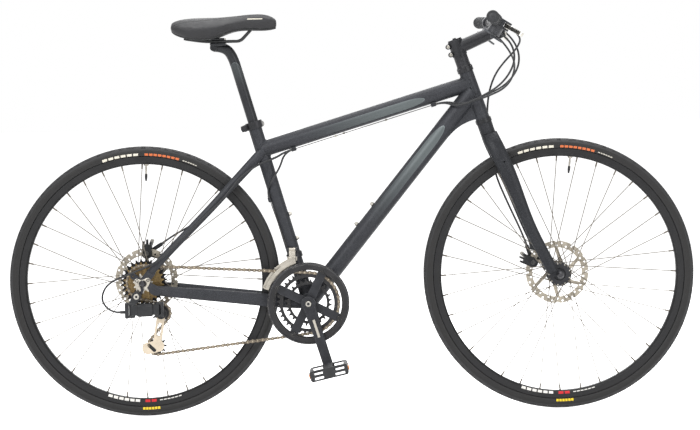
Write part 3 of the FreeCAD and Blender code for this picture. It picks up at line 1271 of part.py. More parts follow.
ears_top = LINK_HIGH + BODY_GAP + EAR_THICKNESS
ears_foot = LINK_LOW - BODY_GAP - EAR_THICKNESS
wall_x = MOUNT_PIN.x - LINK_BARREL - BODY_GAP - 1.0
mount_wall = block(V(wall_x - 8.0, MOUNT_PIN.y - LINK_BARREL, ears_foot),
                   V(wall_x, MOUNT_PIN.y + LINK_BARREL, ears_top))
hanger_disc = cross_rod(HANGER, -DROPOUT_OUTER - 16.0, -DROPOUT_OUTER - TOUCH, 12.0)
hanger_arm = slot_plate(HANGER, V(MOUNT_PIN.x, 0, LINK_HIGH + 2.0), 9.0, -DROPOUT_OUTER - 16.0,
                        -DROPOUT_OUTER - 6.0)
hanger_bolt = cross_rod(HANGER, -DROPOUT_OUTER - 19.0, -DROPOUT_INNER, HANGER_BOLT_RADIUS)
arm_trim = upright(MOUNT_PIN, LINK_LOW - BODY_GAP, LINK_HIGH + BODY_GAP, 40.0)
mount_pin = upright(MOUNT_PIN, ears_foot, ears_top, LINK_PIN_RADIUS)
barrel_adjuster = rod(V(wall_x - 7.0, MOUNT_PIN.y, LINK_LOW + 9.0),
                      V(wall_x - 20.0, MOUNT_PIN.y, LINK_LOW + 9.0), 4.0)
mount = fused([hanger_disc, hanger_arm.cut(arm_trim), hanger_bolt, mount_wall, mount_pin, barrel_adjuster]
              + ear_pair(MOUNT_PIN, wall_x))
save("derailleur_mount", [mount])

link_across = unit(KNUCKLE_PIN - MOUNT_PIN).cross(V(0, 0, 1))
link_corners = []
for point, sign in ((MOUNT_PIN, 1), (KNUCKLE_PIN, 1), (KNUCKLE_PIN, -1), (MOUNT_PIN, -1)):
    spot = point + link_across * (sign * (LINK_BARREL - 0.5))
    link_corners.append(V(spot.x, spot.y, LINK_LOW))
link_web = Part.Face(Part.makePolygon(link_corners + link_corners[:1])).extrude(V(0, 0, LINK_HIGH - LINK_LOW))
link_ends = [upright(point, LINK_LOW, LINK_HIGH, LINK_BARREL) for point in (MOUNT_PIN, KNUCKLE_PIN)]
link_holes = [upright(point, LINK_LOW, LINK_HIGH, LINK_PIN_RADIUS + RUNNING) for point in (MOUNT_PIN, KNUCKLE_PIN)]
link = fused([link_web] + link_ends).cut(link_holes)
save("derailleur_link", [link])

CAGE_OUTER = COG_SIDE - CAGE_GAP / 2 - CAGE_PLATE
CAGE_INNER = COG_SIDE + CAGE_GAP / 2 + CAGE_PLATE
KNUCKLE_FACE = CAGE_OUTER - BODY_GAP
knuckle_wall_x = KNUCKLE_PIN.x + LINK_BARREL + BODY_GAP + 1.0
knuckle_wall = block(V(knuckle_wall_x, KNUCKLE_PIN.y - LINK_BARREL, ears_foot),
                     V(knuckle_wall_x + 7.0, KNUCKLE_PIN.y + LINK_BARREL, ears_top))
knuckle_drum = cross_rod(CAGE_PIVOT, KNUCKLE_PIN.y + LINK_BARREL + 2.0, KNUCKLE_FACE, 14.0)
knuckle_bridge = block(V(knuckle_wall_x, KNUCKLE_PIN.y + LINK_BARREL - 1.0, CAGE_PIVOT.z - 9.0),
                       V(knuckle_wall_x + 7.0, KNUCKLE_FACE - 2.0, CAGE_PIVOT.z + 9.0))
knuckle_pin = upright(KNUCKLE_PIN, ears_foot, ears_top, LINK_PIN_RADIUS)
CAGE_PIN_RADIUS = 4.0
knuckle = fused([knuckle_wall, knuckle_drum, knuckle_bridge, knuckle_pin] + ear_pair(KNUCKLE_PIN, knuckle_wall_x))
knuckle = knuckle.cut(cross_rod(CAGE_PIVOT, KNUCKLE_FACE - 9.0, KNUCKLE_FACE + 1.0, CAGE_PIN_RADIUS + RUNNING))
save("derailleur_knuckle", [knuckle])

cage_shapes = []
cage_cuts = []
window_start = CAGE_PIVOT + (TENSION_PIVOT - CAGE_PIVOT) * 0.36
window_end = CAGE_PIVOT + (TENSION_PIVOT - CAGE_PIVOT) * 0.64
for low, high in ((CAGE_OUTER, CAGE_OUTER + CAGE_PLATE), (CAGE_INNER - CAGE_PLATE, CAGE_INNER)):
    cage_shapes.append(slot_plate(CAGE_PIVOT, TENSION_PIVOT, 10.5, low, high))
    cage_cuts.append(slot_plate(window_start, window_end, 5.0, low, high))
foot_start = TENSION_PIVOT + V(4.0, 0, 0)
foot_end = TENSION_PIVOT + V(-22.0, 0, -6.0)
foot_window = (TENSION_PIVOT + V(-19.0, 0, 2.0), TENSION_PIVOT + V(-6.0, 0, -11.0))
cage_shapes.append(slot_plate(foot_start, foot_end, 15.0, CAGE_OUTER, CAGE_OUTER + CAGE_PLATE))
cage_cuts.append(slot_plate(foot_window[0], foot_window[1], 4.5, CAGE_OUTER, CAGE_OUTER + CAGE_PLATE))
for point in (CAGE_PIVOT, TENSION_PIVOT):
    cage_shapes.append(cross_rod(point, CAGE_OUTER, CAGE_INNER, PULLEY_AXLE_RADIUS))
cage_shapes.append(cross_rod(CAGE_PIVOT, KNUCKLE_FACE - 8.5, CAGE_OUTER, CAGE_PIN_RADIUS))
save("derailleur_cage", [fused(cage_shapes).cut(cage_cuts)])

for name, point in (("guide_pulley", CAGE_PIVOT), ("tension_pulley", TENSION_PIVOT)):
    wheel = sprocket(PULLEY_TEETH, point, COG_SIDE, phase_at(point), PULLEY_AXLE_RADIUS + RUNNING)
    hub = cross_rod(point, COG_SIDE - CAGE_GAP / 2 + BODY_GAP, COG_SIDE + CAGE_GAP / 2 - BODY_GAP, 6.0)
    hub = hub.cut(cross_rod(point, COG_SIDE - CAGE_GAP, COG_SIDE + CAGE_GAP, PULLEY_AXLE_RADIUS + RUNNING))
    save(name, [wheel.fuse(hub)])


# Front derailleur: clamp on the seat tube, link, cage over the rings


FD_CLAMP_HEIGHT = 116.0
FD_BAND = 14.0
FD_PIN_RADIUS = 2.5
FD_PIN = V(BB.x - 39.0, -27.0, BB.z + 134.0)
FD_CAGE_PIN = V(BB.x - 39.0, -33.0, BB.z + 112.0)
FD_LINK_LENGTH = 16.0
FD_EAR = 4.0
FD_CAGE_SIDE = RING_SIDE + 1.5
FD_CAGE_GAP = 12.0
FD_PLATE = 1.2
FD_FROM = 106.0
FD_TO = 161.0
FD_LOW = GUARD_RADIUS + 2.5
FD_HIGH = GUARD_RADIUS + 19.0


def arc_band(low_radius, high_radius, from_angle, to_angle, side_low, side_high):
    """Curved plate about the crank axis between two radii and two angles."""
    middle = (from_angle + to_angle) / 2
    edges = []
    corners = {}
    for radius in (low_radius, high_radius):
        for angle in (from_angle, middle, to_angle):
            corners[(radius, angle)] = round_points(BB, radius, angle, side_low)
    for radius in (low_radius, high_radius):
        edges.append(Part.Arc(*[corners[(radius, angle)] for angle in (from_angle, middle, to_angle)]))
    for angle in (from_angle, to_angle):
        edges.append(Part.LineSegment(corners[(low_radius, angle)], corners[(high_radius, angle)]))
    wire = Part.Wire(Part.__sortEdges__([edge.toShape() for edge in edges]))
    return Part.Face(wire).extrude(V(0, side_high - side_low, 0))


def fore_rod(point, low_x, high_x, radius):
    return rod(V(low_x, point.y, point.z), V(high_x, point.y, point.z), radius)


fd_half = FD_LINK_LENGTH / 2
fd_band = tube(on_seat(FD_CLAMP_HEIGHT), on_seat(FD_CLAMP_HEIGHT + FD_BAND), SEAT_TUBE_RADIUS + 3.5,
               SEAT_TUBE_RADIUS + TOUCH)
fd_ears = []
fd_ear_spans = ((fd_half + BODY_GAP, fd_half + BODY_GAP + FD_EAR),
                (-fd_half - BODY_GAP - FD_EAR, -fd_half - BODY_GAP))
for low, high in fd_ear_spans:
    fd_ears.append(fore_rod(FD_PIN, FD_PIN.x + low, FD_PIN.x + high, 6.0))
    fd_ears.append(block(V(FD_PIN.x + low, FD_PIN.y, FD_PIN.z - 6.0), V(FD_PIN.x + high, 0, FD_PIN.z + 6.0)))
fd_pin = fore_rod(FD_PIN, FD_PIN.x - fd_half - FD_EAR, FD_PIN.x + fd_half + FD_EAR, FD_PIN_RADIUS)
fd_back = block(V(FD_PIN.x - fd_half - FD_EAR, FD_PIN.y + 7.5, FD_PIN.z - 12.0),
                V(FD_PIN.x + fd_half + FD_EAR, 0, FD_PIN.z + 6.0))
fd_bore = rod(on_seat(FD_CLAMP_HEIGHT - 60.0), on_seat(FD_CLAMP_HEIGHT + 100.0), SEAT_TUBE_RADIUS + TOUCH)
fd_clamp = fused([fd_band, fd_back, fd_pin] + fd_ears).cut(fd_bore)
fd_clamp = max(fd_clamp.Solids, key=lambda solid: solid.Volume)

fd_web_out = unit(V(0, FD_CAGE_PIN.z - FD_PIN.z, FD_PIN.y - FD_CAGE_PIN.y)) * 3.0
fd_corners = [FD_PIN + fd_web_out, FD_CAGE_PIN + fd_web_out, FD_CAGE_PIN - fd_web_out, FD_PIN - fd_web_out]
fd_corners = [V(FD_PIN.x - fd_half, corner.y, corner.z) for corner in fd_corners]
fd_web = Part.Face(Part.makePolygon(fd_corners + fd_corners[:1])).extrude(V(FD_LINK_LENGTH, 0, 0))
fd_ends = [fore_rod(point, FD_PIN.x - fd_half, FD_PIN.x + fd_half, 5.0) for point in (FD_PIN, FD_CAGE_PIN)]
fd_holes = [fore_rod(point, FD_PIN.x - fd_half - 1.0, FD_PIN.x + fd_half + 1.0, FD_PIN_RADIUS + RUNNING)
            for point in (FD_PIN, FD_CAGE_PIN)]
save("front_derailleur_link", [fused([fd_web] + fd_ends).cut(fd_holes)])

fd_inner = FD_CAGE_SIDE + FD_CAGE_GAP / 2
fd_outer = FD_CAGE_SIDE - FD_CAGE_GAP / 2
cage_plates = [
    arc_band(FD_LOW - 16.0, FD_HIGH, FD_FROM + 4.0, FD_TO - 12.0, fd_inner, fd_inner + FD_PLATE),
    arc_band(FD_LOW, FD_HIGH, FD_FROM, FD_TO, fd_inner, fd_inner + FD_PLATE),
    arc_band(FD_LOW, FD_HIGH, FD_FROM, FD_FROM + 20.0, fd_outer - FD_PLATE, fd_outer),
    arc_band(FD_LOW, FD_HIGH - 7.0, FD_FROM, FD_TO, fd_outer - FD_PLATE, fd_outer),
    arc_band(FD_HIGH - 3.0, FD_HIGH, FD_FROM, FD_FROM + 9.0, fd_outer, fd_inner),
    arc_band(FD_LOW + 6.0, FD_HIGH - 4.0, FD_TO - 2.0, FD_TO, fd_outer, fd_inner),
]
for low, high in fd_ear_spans:
    cage_plates.append(fore_rod(FD_CAGE_PIN, FD_PIN.x + low, FD_PIN.x + high, 5.0))
    cage_plates.append(block(V(FD_PIN.x + low, fd_inner, FD_CAGE_PIN.z - 5.0),
                             V(FD_PIN.x + high, FD_CAGE_PIN.y, FD_CAGE_PIN.z + 5.0)))
cage_plates.append(fore_rod(FD_CAGE_PIN, FD_PIN.x - fd_half - FD_EAR, FD_PIN.x + fd_half + FD_EAR, FD_PIN_RADIUS))
save("front_derailleur_cage", [fused(cage_plates)])


# Seat clamp with its bolt and lever


CLAMP_FOOT = SEAT_TUBE_LENGTH - 15.0
CLAMP_TOP = SEAT_TUBE_LENGTH + 3.0
CLAMP_RADIUS = SEAT_TUBE_RADIUS + 4.5
collar = rod(on_seat(CLAMP_FOOT), on_seat(CLAMP_TOP), CLAMP_RADIUS)
lug_low = -CLAMP_RADIUS - 12.0
lug_box = Part.makeBox(CLAMP_RADIUS + 12.0 - 10.0, 24.0, CLAMP_TOP - CLAMP_FOOT - 3.0, V(lug_low, -12.0, 0))
lug = placed(lug_box, on_seat(CLAMP_FOOT), SEAT_FORE, SEAT_UP)
slit_box = Part.makeBox(30.0, 2.0, CLAMP_TOP - CLAMP_FOOT, V(lug_low - 1.0, -1.0, 0))
slit = placed(slit_box, on_seat(CLAMP_FOOT), SEAT_FORE, SEAT_UP)
CLAMP_BOLT = on_seat((CLAMP_FOOT + CLAMP_TOP) / 2 - 1.5, lug_low + 6.0)
CLAMP_BOLT_RADIUS = 3.0
collar = fused([collar, lug]).cut([
    rod(on_seat(CLAMP_FOOT), on_seat(SEAT_TUBE_LENGTH), SEAT_TUBE_RADIUS + TOUCH),
    rod(on_seat(SEAT_TUBE_LENGTH - 1.0), on_seat(CLAMP_TOP), POST_RADIUS + RUNNING),
    slit, cross_rod(CLAMP_BOLT, -20.0, 20.0, CLAMP_BOLT_RADIUS + TOUCH),
])
SEAT_CAM_SIDE = 24.0
clamp_bolt = fused([
    cross_rod(CLAMP_BOLT, -20.0, 14.0, CLAMP_BOLT_RADIUS),
    cross_rod(CLAMP_BOLT, -19.0, -12.0 - TOUCH, 7.0),
    cross_rod(CLAMP_BOLT, 12.0 + TOUCH, SEAT_CAM_SIDE - 5.0, 7.0),
    placed(Part.makeBox(10, 2 * QR_LUG, 11, V(-5, -QR_LUG, -6)), CLAMP_BOLT + LEFT * SEAT_CAM_SIDE,
           SEAT_FORE, LEFT),
    rod(CLAMP_BOLT + LEFT * SEAT_CAM_SIDE - SEAT_UP * 2.2 * QR_LUG,
        CLAMP_BOLT + LEFT * SEAT_CAM_SIDE + SEAT_UP * 2.2 * QR_LUG, QR_PIN_RADIUS),
])
save("seat_clamp", [collar, clamp_bolt])
SEAT_LEVER_LENGTH = 44.0
seat_lever = make_qr_lever(CLAMP_BOLT + LEFT * SEAT_CAM_SIDE, SEAT_FORE, SEAT_LEVER_LENGTH)
save("seat_qr_lever", [seat_lever])
print("seat lever pin", CLAMP_BOLT + LEFT * SEAT_CAM_SIDE)


# Seatpost with head, saddle base with rails, saddle cover


CRADLE = on_seat(RAIL_HEIGHT) - V(SADDLE_SETBACK, 0, 0)
post = rod(on_seat(POST_FOOT_HEIGHT), on_seat(POST_TOP_HEIGHT), POST_RADIUS)
post = post.cut(rod(on_seat(POST_FOOT_HEIGHT), on_seat(POST_TOP_HEIGHT - 30.0), POST_RADIUS - POST_WALL))
rail_side = RAIL_SPACING / 2
seat_low = CRADLE.z - RAIL_RADIUS - TOUCH
seat_high = CRADLE.z + RAIL_RADIUS + TOUCH
head = rod(on_seat(POST_TOP_HEIGHT), V(CRADLE.x, 0, seat_low - 3.5), POST_RADIUS - 1.5)
head = head.cut(block(V(CRADLE.x - 40.0, -40.0, seat_low - 1.0), V(CRADLE.x + 40.0, 40.0, seat_low + 40.0)))
head = head.fuse(Part.makeSphere(POST_RADIUS - 0.1, on_seat(POST_TOP_HEIGHT)))
cradle_base = block(V(CRADLE.x - 19.0, -rail_side - 5.0, seat_low - 7.0),
                    V(CRADLE.x + 19.0, rail_side + 5.0, seat_low))
post = fused([post, head, cradle_base])
clamp_plate = block(V(CRADLE.x - 12.0, -rail_side - 5.0, seat_high),
                    V(CRADLE.x + 14.0, rail_side + 5.0, seat_high + 3.0))
clamp_core = block(V(CRADLE.x - 9.0, -8.0, seat_low + TOUCH), V(CRADLE.x + 9.0, 8.0, seat_high - TOUCH))
save("seatpost", [post, clamp_plate, clamp_core])

# Saddle stations: distance behind the nose, half width share, underside and top above the rails
SADDLE_NOSE = CRADLE + V(148.0, 0, 0)
SADDLE_STATIONS = [
    (2.0, 0.14, 34.0, 51.0), (20.0, 0.235, 30.5, 62.0), (55.0, 0.30, 30.0, 65.5), (100.0, 0.45, 29.0, 62.0),
    (140.0, 0.75, 17.0, 58.5), (180.0, 0.99, 8.0, 58.0), (215.0, 1.0, 10.0, 57.5), (248.0, 0.85, 19.0, 53.0),
    (264.0, 0.50, 32.0, 46.0),
]


def saddle_section(station):
    """Crowned section with a flat underside, drawn-in sides and an arched top."""
    back, share, low, high = station
    wide = SADDLE_HALF_WIDTH * share
    x = SADDLE_NOSE.x - back
    low += CRADLE.z
    high += CRADLE.z
    waist = low + (high - low) * 0.45
    under = wide * 0.82
    left_low = V(x, under, low)
    right_low = V(x, -under, low)
    left_waist = V(x, wide, waist)
    right_waist = V(x, -wide, waist)
    bulge = V(x, wide * 0.95, low + (waist - low) * 0.45)
    edges = [
        Part.LineSegment(right_low, left_low),
        Part.Arc(left_low, bulge, left_waist),
        Part.Arc(left_waist, V(x, 0, high), right_waist),
        Part.Arc(right_waist, flipped(bulge), right_low),
    ]
    return Part.Wire([edge.toShape() for edge in edges])


cover = Part.makeLoft([saddle_section(station) for station in SADDLE_STATIONS], True, False)
save("saddle_cover", [cover])

BASE_THICKNESS = 4.0


def base_section(station):
    back, share, low, high = station
    wide = SADDLE_HALF_WIDTH * share * 0.80
    x = SADDLE_NOSE.x - back
    top = CRADLE.z + low - BODY_GAP
    low = top - BASE_THICKNESS
    corners = [V(x, -wide, top), V(x, wide, top), V(x, wide, low), V(x, -wide, low)]
    return Part.makePolygon(corners + corners[:1])


base = Part.makeLoft([base_section(station) for station in SADDLE_STATIONS], True, False)
rails = []
for sign in (1, -1):
    rail_line = [
        V(SADDLE_NOSE.x - 66.0, sign * 9.0, CRADLE.z + 27.0), V(SADDLE_NOSE.x - 92.0, sign * 17.0, CRADLE.z),
        V(CRADLE.x + 34.0, sign * rail_side, CRADLE.z), V(CRADLE.x - 34.0, sign * rail_side, CRADLE.z),
        V(CRADLE.x - 84.0, sign * (rail_side + 14.0), CRADLE.z + 8.0),
    ]
    rails.append(swept(rail_line, RAIL_RADIUS))
base = base.cut(rails)
save("saddle_frame", [max(base.Solids, key=lambda solid: solid.Volume)] + rails)


# Cable stops, bottle bosses and bolts, with the front derailleur's clamp


TOP_TUBE_ALONG = unit(TOP_TUBE_FRONT - TOP_TUBE_REAR)
TOP_TUBE_DOWN = V(TOP_TUBE_ALONG.z, 0, -TOP_TUBE_ALONG.x)
WIRE_SIDES = (-10.0, 0.0, 10.0)
WIRE_DROP = TOP_TUBE_RADIUS + 3.6
STOP_LENGTH = 12.0
FRONT_STOP = 105.0
REAR_STOP = 78.0
top_tube_span = (TOP_TUBE_FRONT - TOP_TUBE_REAR).Length


def under_top_tube(along, side, drop=WIRE_DROP):
    return TOP_TUBE_REAR + TOP_TUBE_ALONG * along + TOP_TUBE_DOWN * drop + LEFT * side


fittings = [fd_clamp]
stop_ends = {}
for name, along, mouth in (("front", top_tube_span - FRONT_STOP, 1), ("rear", REAR_STOP, -1)):
    box = Part.makeBox(STOP_LENGTH, 30.0, 11.0, V(-STOP_LENGTH / 2, -15.0, -WIRE_DROP - 4.5))
    stop = placed(box, under_top_tube(along, 0, 0), TOP_TUBE_ALONG, TOP_TUBE_DOWN * -1)
    cuts = [top_outside]
    for side in WIRE_SIDES:
        cuts.append(rod(under_top_tube(along - 20.0, side), under_top_tube(along + 20.0, side), WIRE_RADIUS + 0.2))
        seat = under_top_tube(along + mouth * 1.0, side)
        cuts.append(rod(seat, under_top_tube(along + mouth * 12.0, side), HOUSING_RADIUS + TOUCH))
        stop_ends[(name, side)] = seat
    stop = stop.cut(cuts)
    fittings.append(max(stop.Solids, key=lambda solid: solid.Volume))

BOSS_SPACING = 64.0
for foot, along, out, radius, first in (
        (BB, SEAT_UP, SEAT_FORE, SEAT_TUBE_RADIUS, 163.0),
        (BB, DOWN_TUBE_ALONG, DOWN_TUBE_UP, DOWN_TUBE_RADIUS, 230.0)):
    for along_tube in (first, first + BOSS_SPACING):
        root = foot + along * along_tube + out * (radius + TOUCH)
        boss = rod(root - out * 0.7, root + out * 1.5, 5.0).cut([seat_outside, down_outside])
        bolt = fused([rod(root + out * 1.5, root + out * 4.5, 4.2), rod(root + out * 1.5, root + out * 2.3, 5.0)])
        fittings.extend([boss, bolt.cut(rod(root + out * 2.9, root + out * 4.5, 2.1))])
FD_STOP_HEIGHT = 276.0
fd_stop_at = on_seat(FD_STOP_HEIGHT, -SEAT_TUBE_RADIUS - 1.0, -10.0)
fd_stop = rod(fd_stop_at - SEAT_UP * 6.0, fd_stop_at + SEAT_UP * 6.0, 4.5)
fd_wire_hole = rod(fd_stop_at - SEAT_UP * 7.0, fd_stop_at + SEAT_UP * 7.0, WIRE_RADIUS + 0.2)
fd_housing_hole = rod(fd_stop_at, fd_stop_at + SEAT_UP * 7.0, HOUSING_RADIUS + TOUCH)
fd_stop = fd_stop.cut([seat_outside, fd_wire_hole, fd_housing_hole])
fittings.append(max(fd_stop.Solids, key=lambda solid: solid.Volume))
save("frame_fittings", fittings)


# Cables on the frame: bare wires under the top tube, housings behind it


cables = []
for side in WIRE_SIDES:
    cables.append(rod(stop_ends[("rear", side)] + TOP_TUBE_ALONG * TOUCH,
                      stop_ends[("front", side)] - TOP_TUBE_ALONG * TOUCH, WIRE_RADIUS))


def seatstay_clear(bend, sign, out):
    """Point beside one of the seatstay's bends, clear of its side."""
    point = SEATSTAY_BENDS[bend]
    return V(point.x, sign * (point.y + STAY_WIDTH / 2 + HOUSING_RADIUS + out), point.z)


def stop_seat(stop, toward):
    """Point where a housing's end meets the outside of a caliper's cable stop."""
    return stop + unit(toward - stop) * (5.0 + TOUCH)


rear_stop = cable_stop(REAR, REAR_CALIPER_ANGLE, REAR_ROTOR_SIDE, REAR_STOP_ANGLE)
rear_stop_lead = V(rear_stop.x + 30.0, rear_stop.y, rear_stop.z + 22.0)
brake_route = [
    stop_ends[("rear", 10.0)] - TOP_TUBE_ALONG * TOUCH, under_top_tube(REAR_STOP - 27.0, 10.0),
    on_seat(TOP_TUBE_SEAT_HEIGHT - 30.0, 30.0, 30.0), on_seat(TOP_TUBE_SEAT_HEIGHT - 32.0, -20.0, 40.0),
    seatstay_clear(2, 1, 6.0), seatstay_clear(1, 1, 3.0), seatstay_clear(0, 1, 3.0),
    REAR + V(118.0, 78.0, 136.0), rear_stop_lead, stop_seat(rear_stop, rear_stop_lead),
]
shift_route = [
    stop_ends[("rear", -10.0)] - TOP_TUBE_ALONG * TOUCH, under_top_tube(REAR_STOP - 27.0, -10.0),
    on_seat(TOP_TUBE_SEAT_HEIGHT - 30.0, 30.0, -30.0), on_seat(TOP_TUBE_SEAT_HEIGHT - 32.0, -20.0, -40.0),
    seatstay_clear(2, -1, 6.0), seatstay_clear(1, -1, 3.0), seatstay_clear(0, -1, 3.0),
    REAR + V(96.0, -80.0, 106.0), REAR + V(40.0, -84.0, 54.0), REAR + V(-30.0, -85.0, 26.0),
    REAR + V(-88.0, -85.0, 4.0), REAR + V(-106.0, -84.0, -38.0), V(wall_x - 44.0, MOUNT_PIN.y, LINK_LOW + 9.0),
    V(wall_x - 20.0 - TOUCH, MOUNT_PIN.y, LINK_LOW + 9.0),
]
front_shift_route = [
    stop_ends[("rear", 0.0)] - TOP_TUBE_ALONG * TOUCH, under_top_tube(REAR_STOP - 25.0, 0.0),
    on_seat(TOP_TUBE_SEAT_HEIGHT - 58.0, 30.0, -18.0), on_seat(TOP_TUBE_SEAT_HEIGHT - 82.0, 0.0, -33.0),
    fd_stop_at + SEAT_UP * 22.0, fd_stop_at + SEAT_UP * TOUCH,
]
for route in (brake_route, shift_route, front_shift_route):
    cables.append(swept(route, HOUSING_RADIUS))
fd_wire = [fd_stop_at - SEAT_UP * TOUCH, fd_stop_at - SEAT_UP * 24.0,
           FD_PIN + V(-fd_half - FD_EAR - 1.0, 3.0, 7.0)]
cables.append(swept(fd_wire, WIRE_RADIUS))
save("frame_cables", cables)


# Cables at the front: the loops to the frame, and the front brake's housing on the fork


brake_exit_right = pod_point(BRAKE_EXIT + V(-14.0 - TOUCH, 0, 0))
shift_exit_right = pod_point(SHIFT_EXIT + V(-8.0 - TOUCH, 0, 0))
brake_exit_left = flipped(brake_exit_right)
shift_exit_left = flipped(shift_exit_right)
inward = GRIP_OUT * -1
inward_left = flipped(inward)
front_mouth = {side: stop_ends[("front", side)] + TOP_TUBE_ALONG * TOUCH for side in WIRE_SIDES}
front_lead = {side: front_mouth[side] + TOP_TUBE_ALONG * 26.0 for side in WIRE_SIDES}


def by_head(fore, side, rise):
    """Point given from the top of the head tube: forward, to the left, up."""
    return on_steer(HEAD_HIGH) + V(fore, side, rise)


rear_brake_loop = [
    brake_exit_left, brake_exit_left + inward_left * 26.0, by_head(136.0, 82.0, 70.0), by_head(143.0, 72.0, 14.0),
    by_head(106.0, 62.0, -36.0), by_head(46.0, 52.0, -63.0), by_head(-16.0, 36.0, -80.0), front_lead[10.0],
    front_mouth[10.0],
]
rear_shift_loop = [
    shift_exit_right, shift_exit_right + inward * 24.0, by_head(114.0, -78.0, 66.0), by_head(121.0, -66.0, 20.0),
    by_head(89.0, -60.0, -32.0), by_head(31.0, -52.0, -66.0), by_head(-26.0, -38.0, -88.0), front_lead[-10.0],
    front_mouth[-10.0],
]
front_shift_loop = [
    shift_exit_left, shift_exit_left + inward_left * 24.0, by_head(116.0, 56.0, 52.0), by_head(128.0, 8.0, 10.0),
    by_head(104.0, -28.0, -40.0), by_head(45.0, -37.0, -66.0), by_head(-14.0, -33.0, -82.0), front_lead[0.0],
    front_mouth[0.0],
]
loops = [swept(route, HOUSING_RADIUS) for route in (rear_brake_loop, rear_shift_loop, front_shift_loop)]
save("head_cable_loops", loops)

front_stop = cable_stop(FRONT, FRONT_CALIPER_ANGLE, FRONT_ROTOR_SIDE, FRONT_STOP_ANGLE)
front_stop_lead = front_stop + STEER_UP * 34.0
front_brake_route = [
    brake_exit_right, brake_exit_right + inward * 26.0, by_head(137.0, -75.0, 84.0),
    by_head(128.0, -30.0, 56.0), by_head(98.0, 10.0, 24.0), by_head(76.0, 48.0, -8.0),
    by_head(62.0, 76.0, -50.0), by_head(56.0, 76.0, -100.0), by_head(56.0, 68.0, -150.0),
    on_steer(352.0, -2.0, 62.0),
    on_steer(290.0, -16.0, 57.0), on_steer(205.0, -10.0, 58.0), front_stop_lead,
    stop_seat(front_stop, front_stop_lead),
]
save("front_brake_cable", [swept(front_brake_route, HOUSING_RADIUS)])
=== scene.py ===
import math

import bmesh
import bpy
from mathutils import Matrix, Vector


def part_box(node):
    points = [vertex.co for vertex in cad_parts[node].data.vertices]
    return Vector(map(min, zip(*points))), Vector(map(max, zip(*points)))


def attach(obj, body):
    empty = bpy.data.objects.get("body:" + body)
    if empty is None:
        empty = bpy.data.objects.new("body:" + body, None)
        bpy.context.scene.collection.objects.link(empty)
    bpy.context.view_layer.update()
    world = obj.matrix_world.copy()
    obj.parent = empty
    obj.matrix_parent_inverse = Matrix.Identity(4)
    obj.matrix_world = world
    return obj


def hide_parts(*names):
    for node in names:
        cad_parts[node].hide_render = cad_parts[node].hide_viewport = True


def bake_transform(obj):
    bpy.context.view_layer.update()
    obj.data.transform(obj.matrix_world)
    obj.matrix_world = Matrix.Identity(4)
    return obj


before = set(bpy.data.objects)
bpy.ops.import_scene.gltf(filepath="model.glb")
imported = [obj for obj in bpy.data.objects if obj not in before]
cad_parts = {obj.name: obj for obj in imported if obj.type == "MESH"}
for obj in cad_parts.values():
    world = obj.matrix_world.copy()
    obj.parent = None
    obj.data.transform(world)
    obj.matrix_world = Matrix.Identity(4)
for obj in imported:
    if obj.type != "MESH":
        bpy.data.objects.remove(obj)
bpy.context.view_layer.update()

# Studio: a matt white floor, three large soft lamps above and before the bike and one behind it.
# Whatever looks past the bike, or is mirrored in it, sees plain white.
WHITE = (1, 1, 1, 1)
ROOM_LIGHT = 0.36
FLOOR_GREY = (0.86, 0.86, 0.86, 1)
FLOOR_GLOW = 0.85
FLOOR_REACH = 40.0
FLOOR_GAP = 0.0008
LAMP_TARGET = Vector((0, 0, 0.5))
LAMPS = {
    "key_lamp": ((-1.9, -3.6, 2.9), 2.2, 150.0),
    "fill_lamp": ((2.6, -3.2, 1.7), 2.0, 58.0),
    "top_lamp": ((0.1, 0.3, 3.4), 2.6, 104.0),
    "back_lamp": ((0.4, 3.6, 2.2), 2.4, 62.0),
}
scene = bpy.context.scene
scene.view_settings.view_transform = "Standard"


def feed(tree, node, inputs):
    """Gives each named socket of a node an output to follow, or a value of its own."""
    for key, value in inputs.items():
        if isinstance(value, bpy.types.NodeSocket):
            tree.links.new(value, node.inputs[key])
        else:
            node.inputs[key].default_value = value


def add(tree, kind, inputs=None, **settings):
    """Adds a shader node with its settings and inputs."""
    node = tree.nodes.new("ShaderNode" + kind)
    for key, value in settings.items():
        setattr(node, key, value)
    feed(tree, node, inputs or {})
    return node


def figure(tree, operation, *values):
    """Output of a Math node on up to three values."""
    return add(tree, "Math", dict(enumerate(values)), operation=operation).outputs[0]


def white_seen(tree):
    """One for rays that come from the camera, from gloss or through glass."""
    path = add(tree, "LightPath").outputs
    seen = figure(tree, "MAXIMUM", path["Is Camera Ray"], path["Is Glossy Ray"])
    return figure(tree, "MAXIMUM", seen, path["Is Transmission Ray"])


def new_material(name):
    """Material, with its node tree and its shader."""
    material = bpy.data.materials.new(name)
    material.use_nodes = True
    return material, material.node_tree, material.node_tree.nodes["Principled BSDF"]


def as_mesh(shape, name):
    """Mesh of a finished bmesh."""
    mesh = bpy.data.meshes.new(name)
    shape.to_mesh(mesh)
    shape.free()
    return mesh


def in_scene(name, data):
    """New object at the origin, linked to the scene."""
    item = bpy.data.objects.new(name, data)
    scene.collection.objects.link(item)
    return item


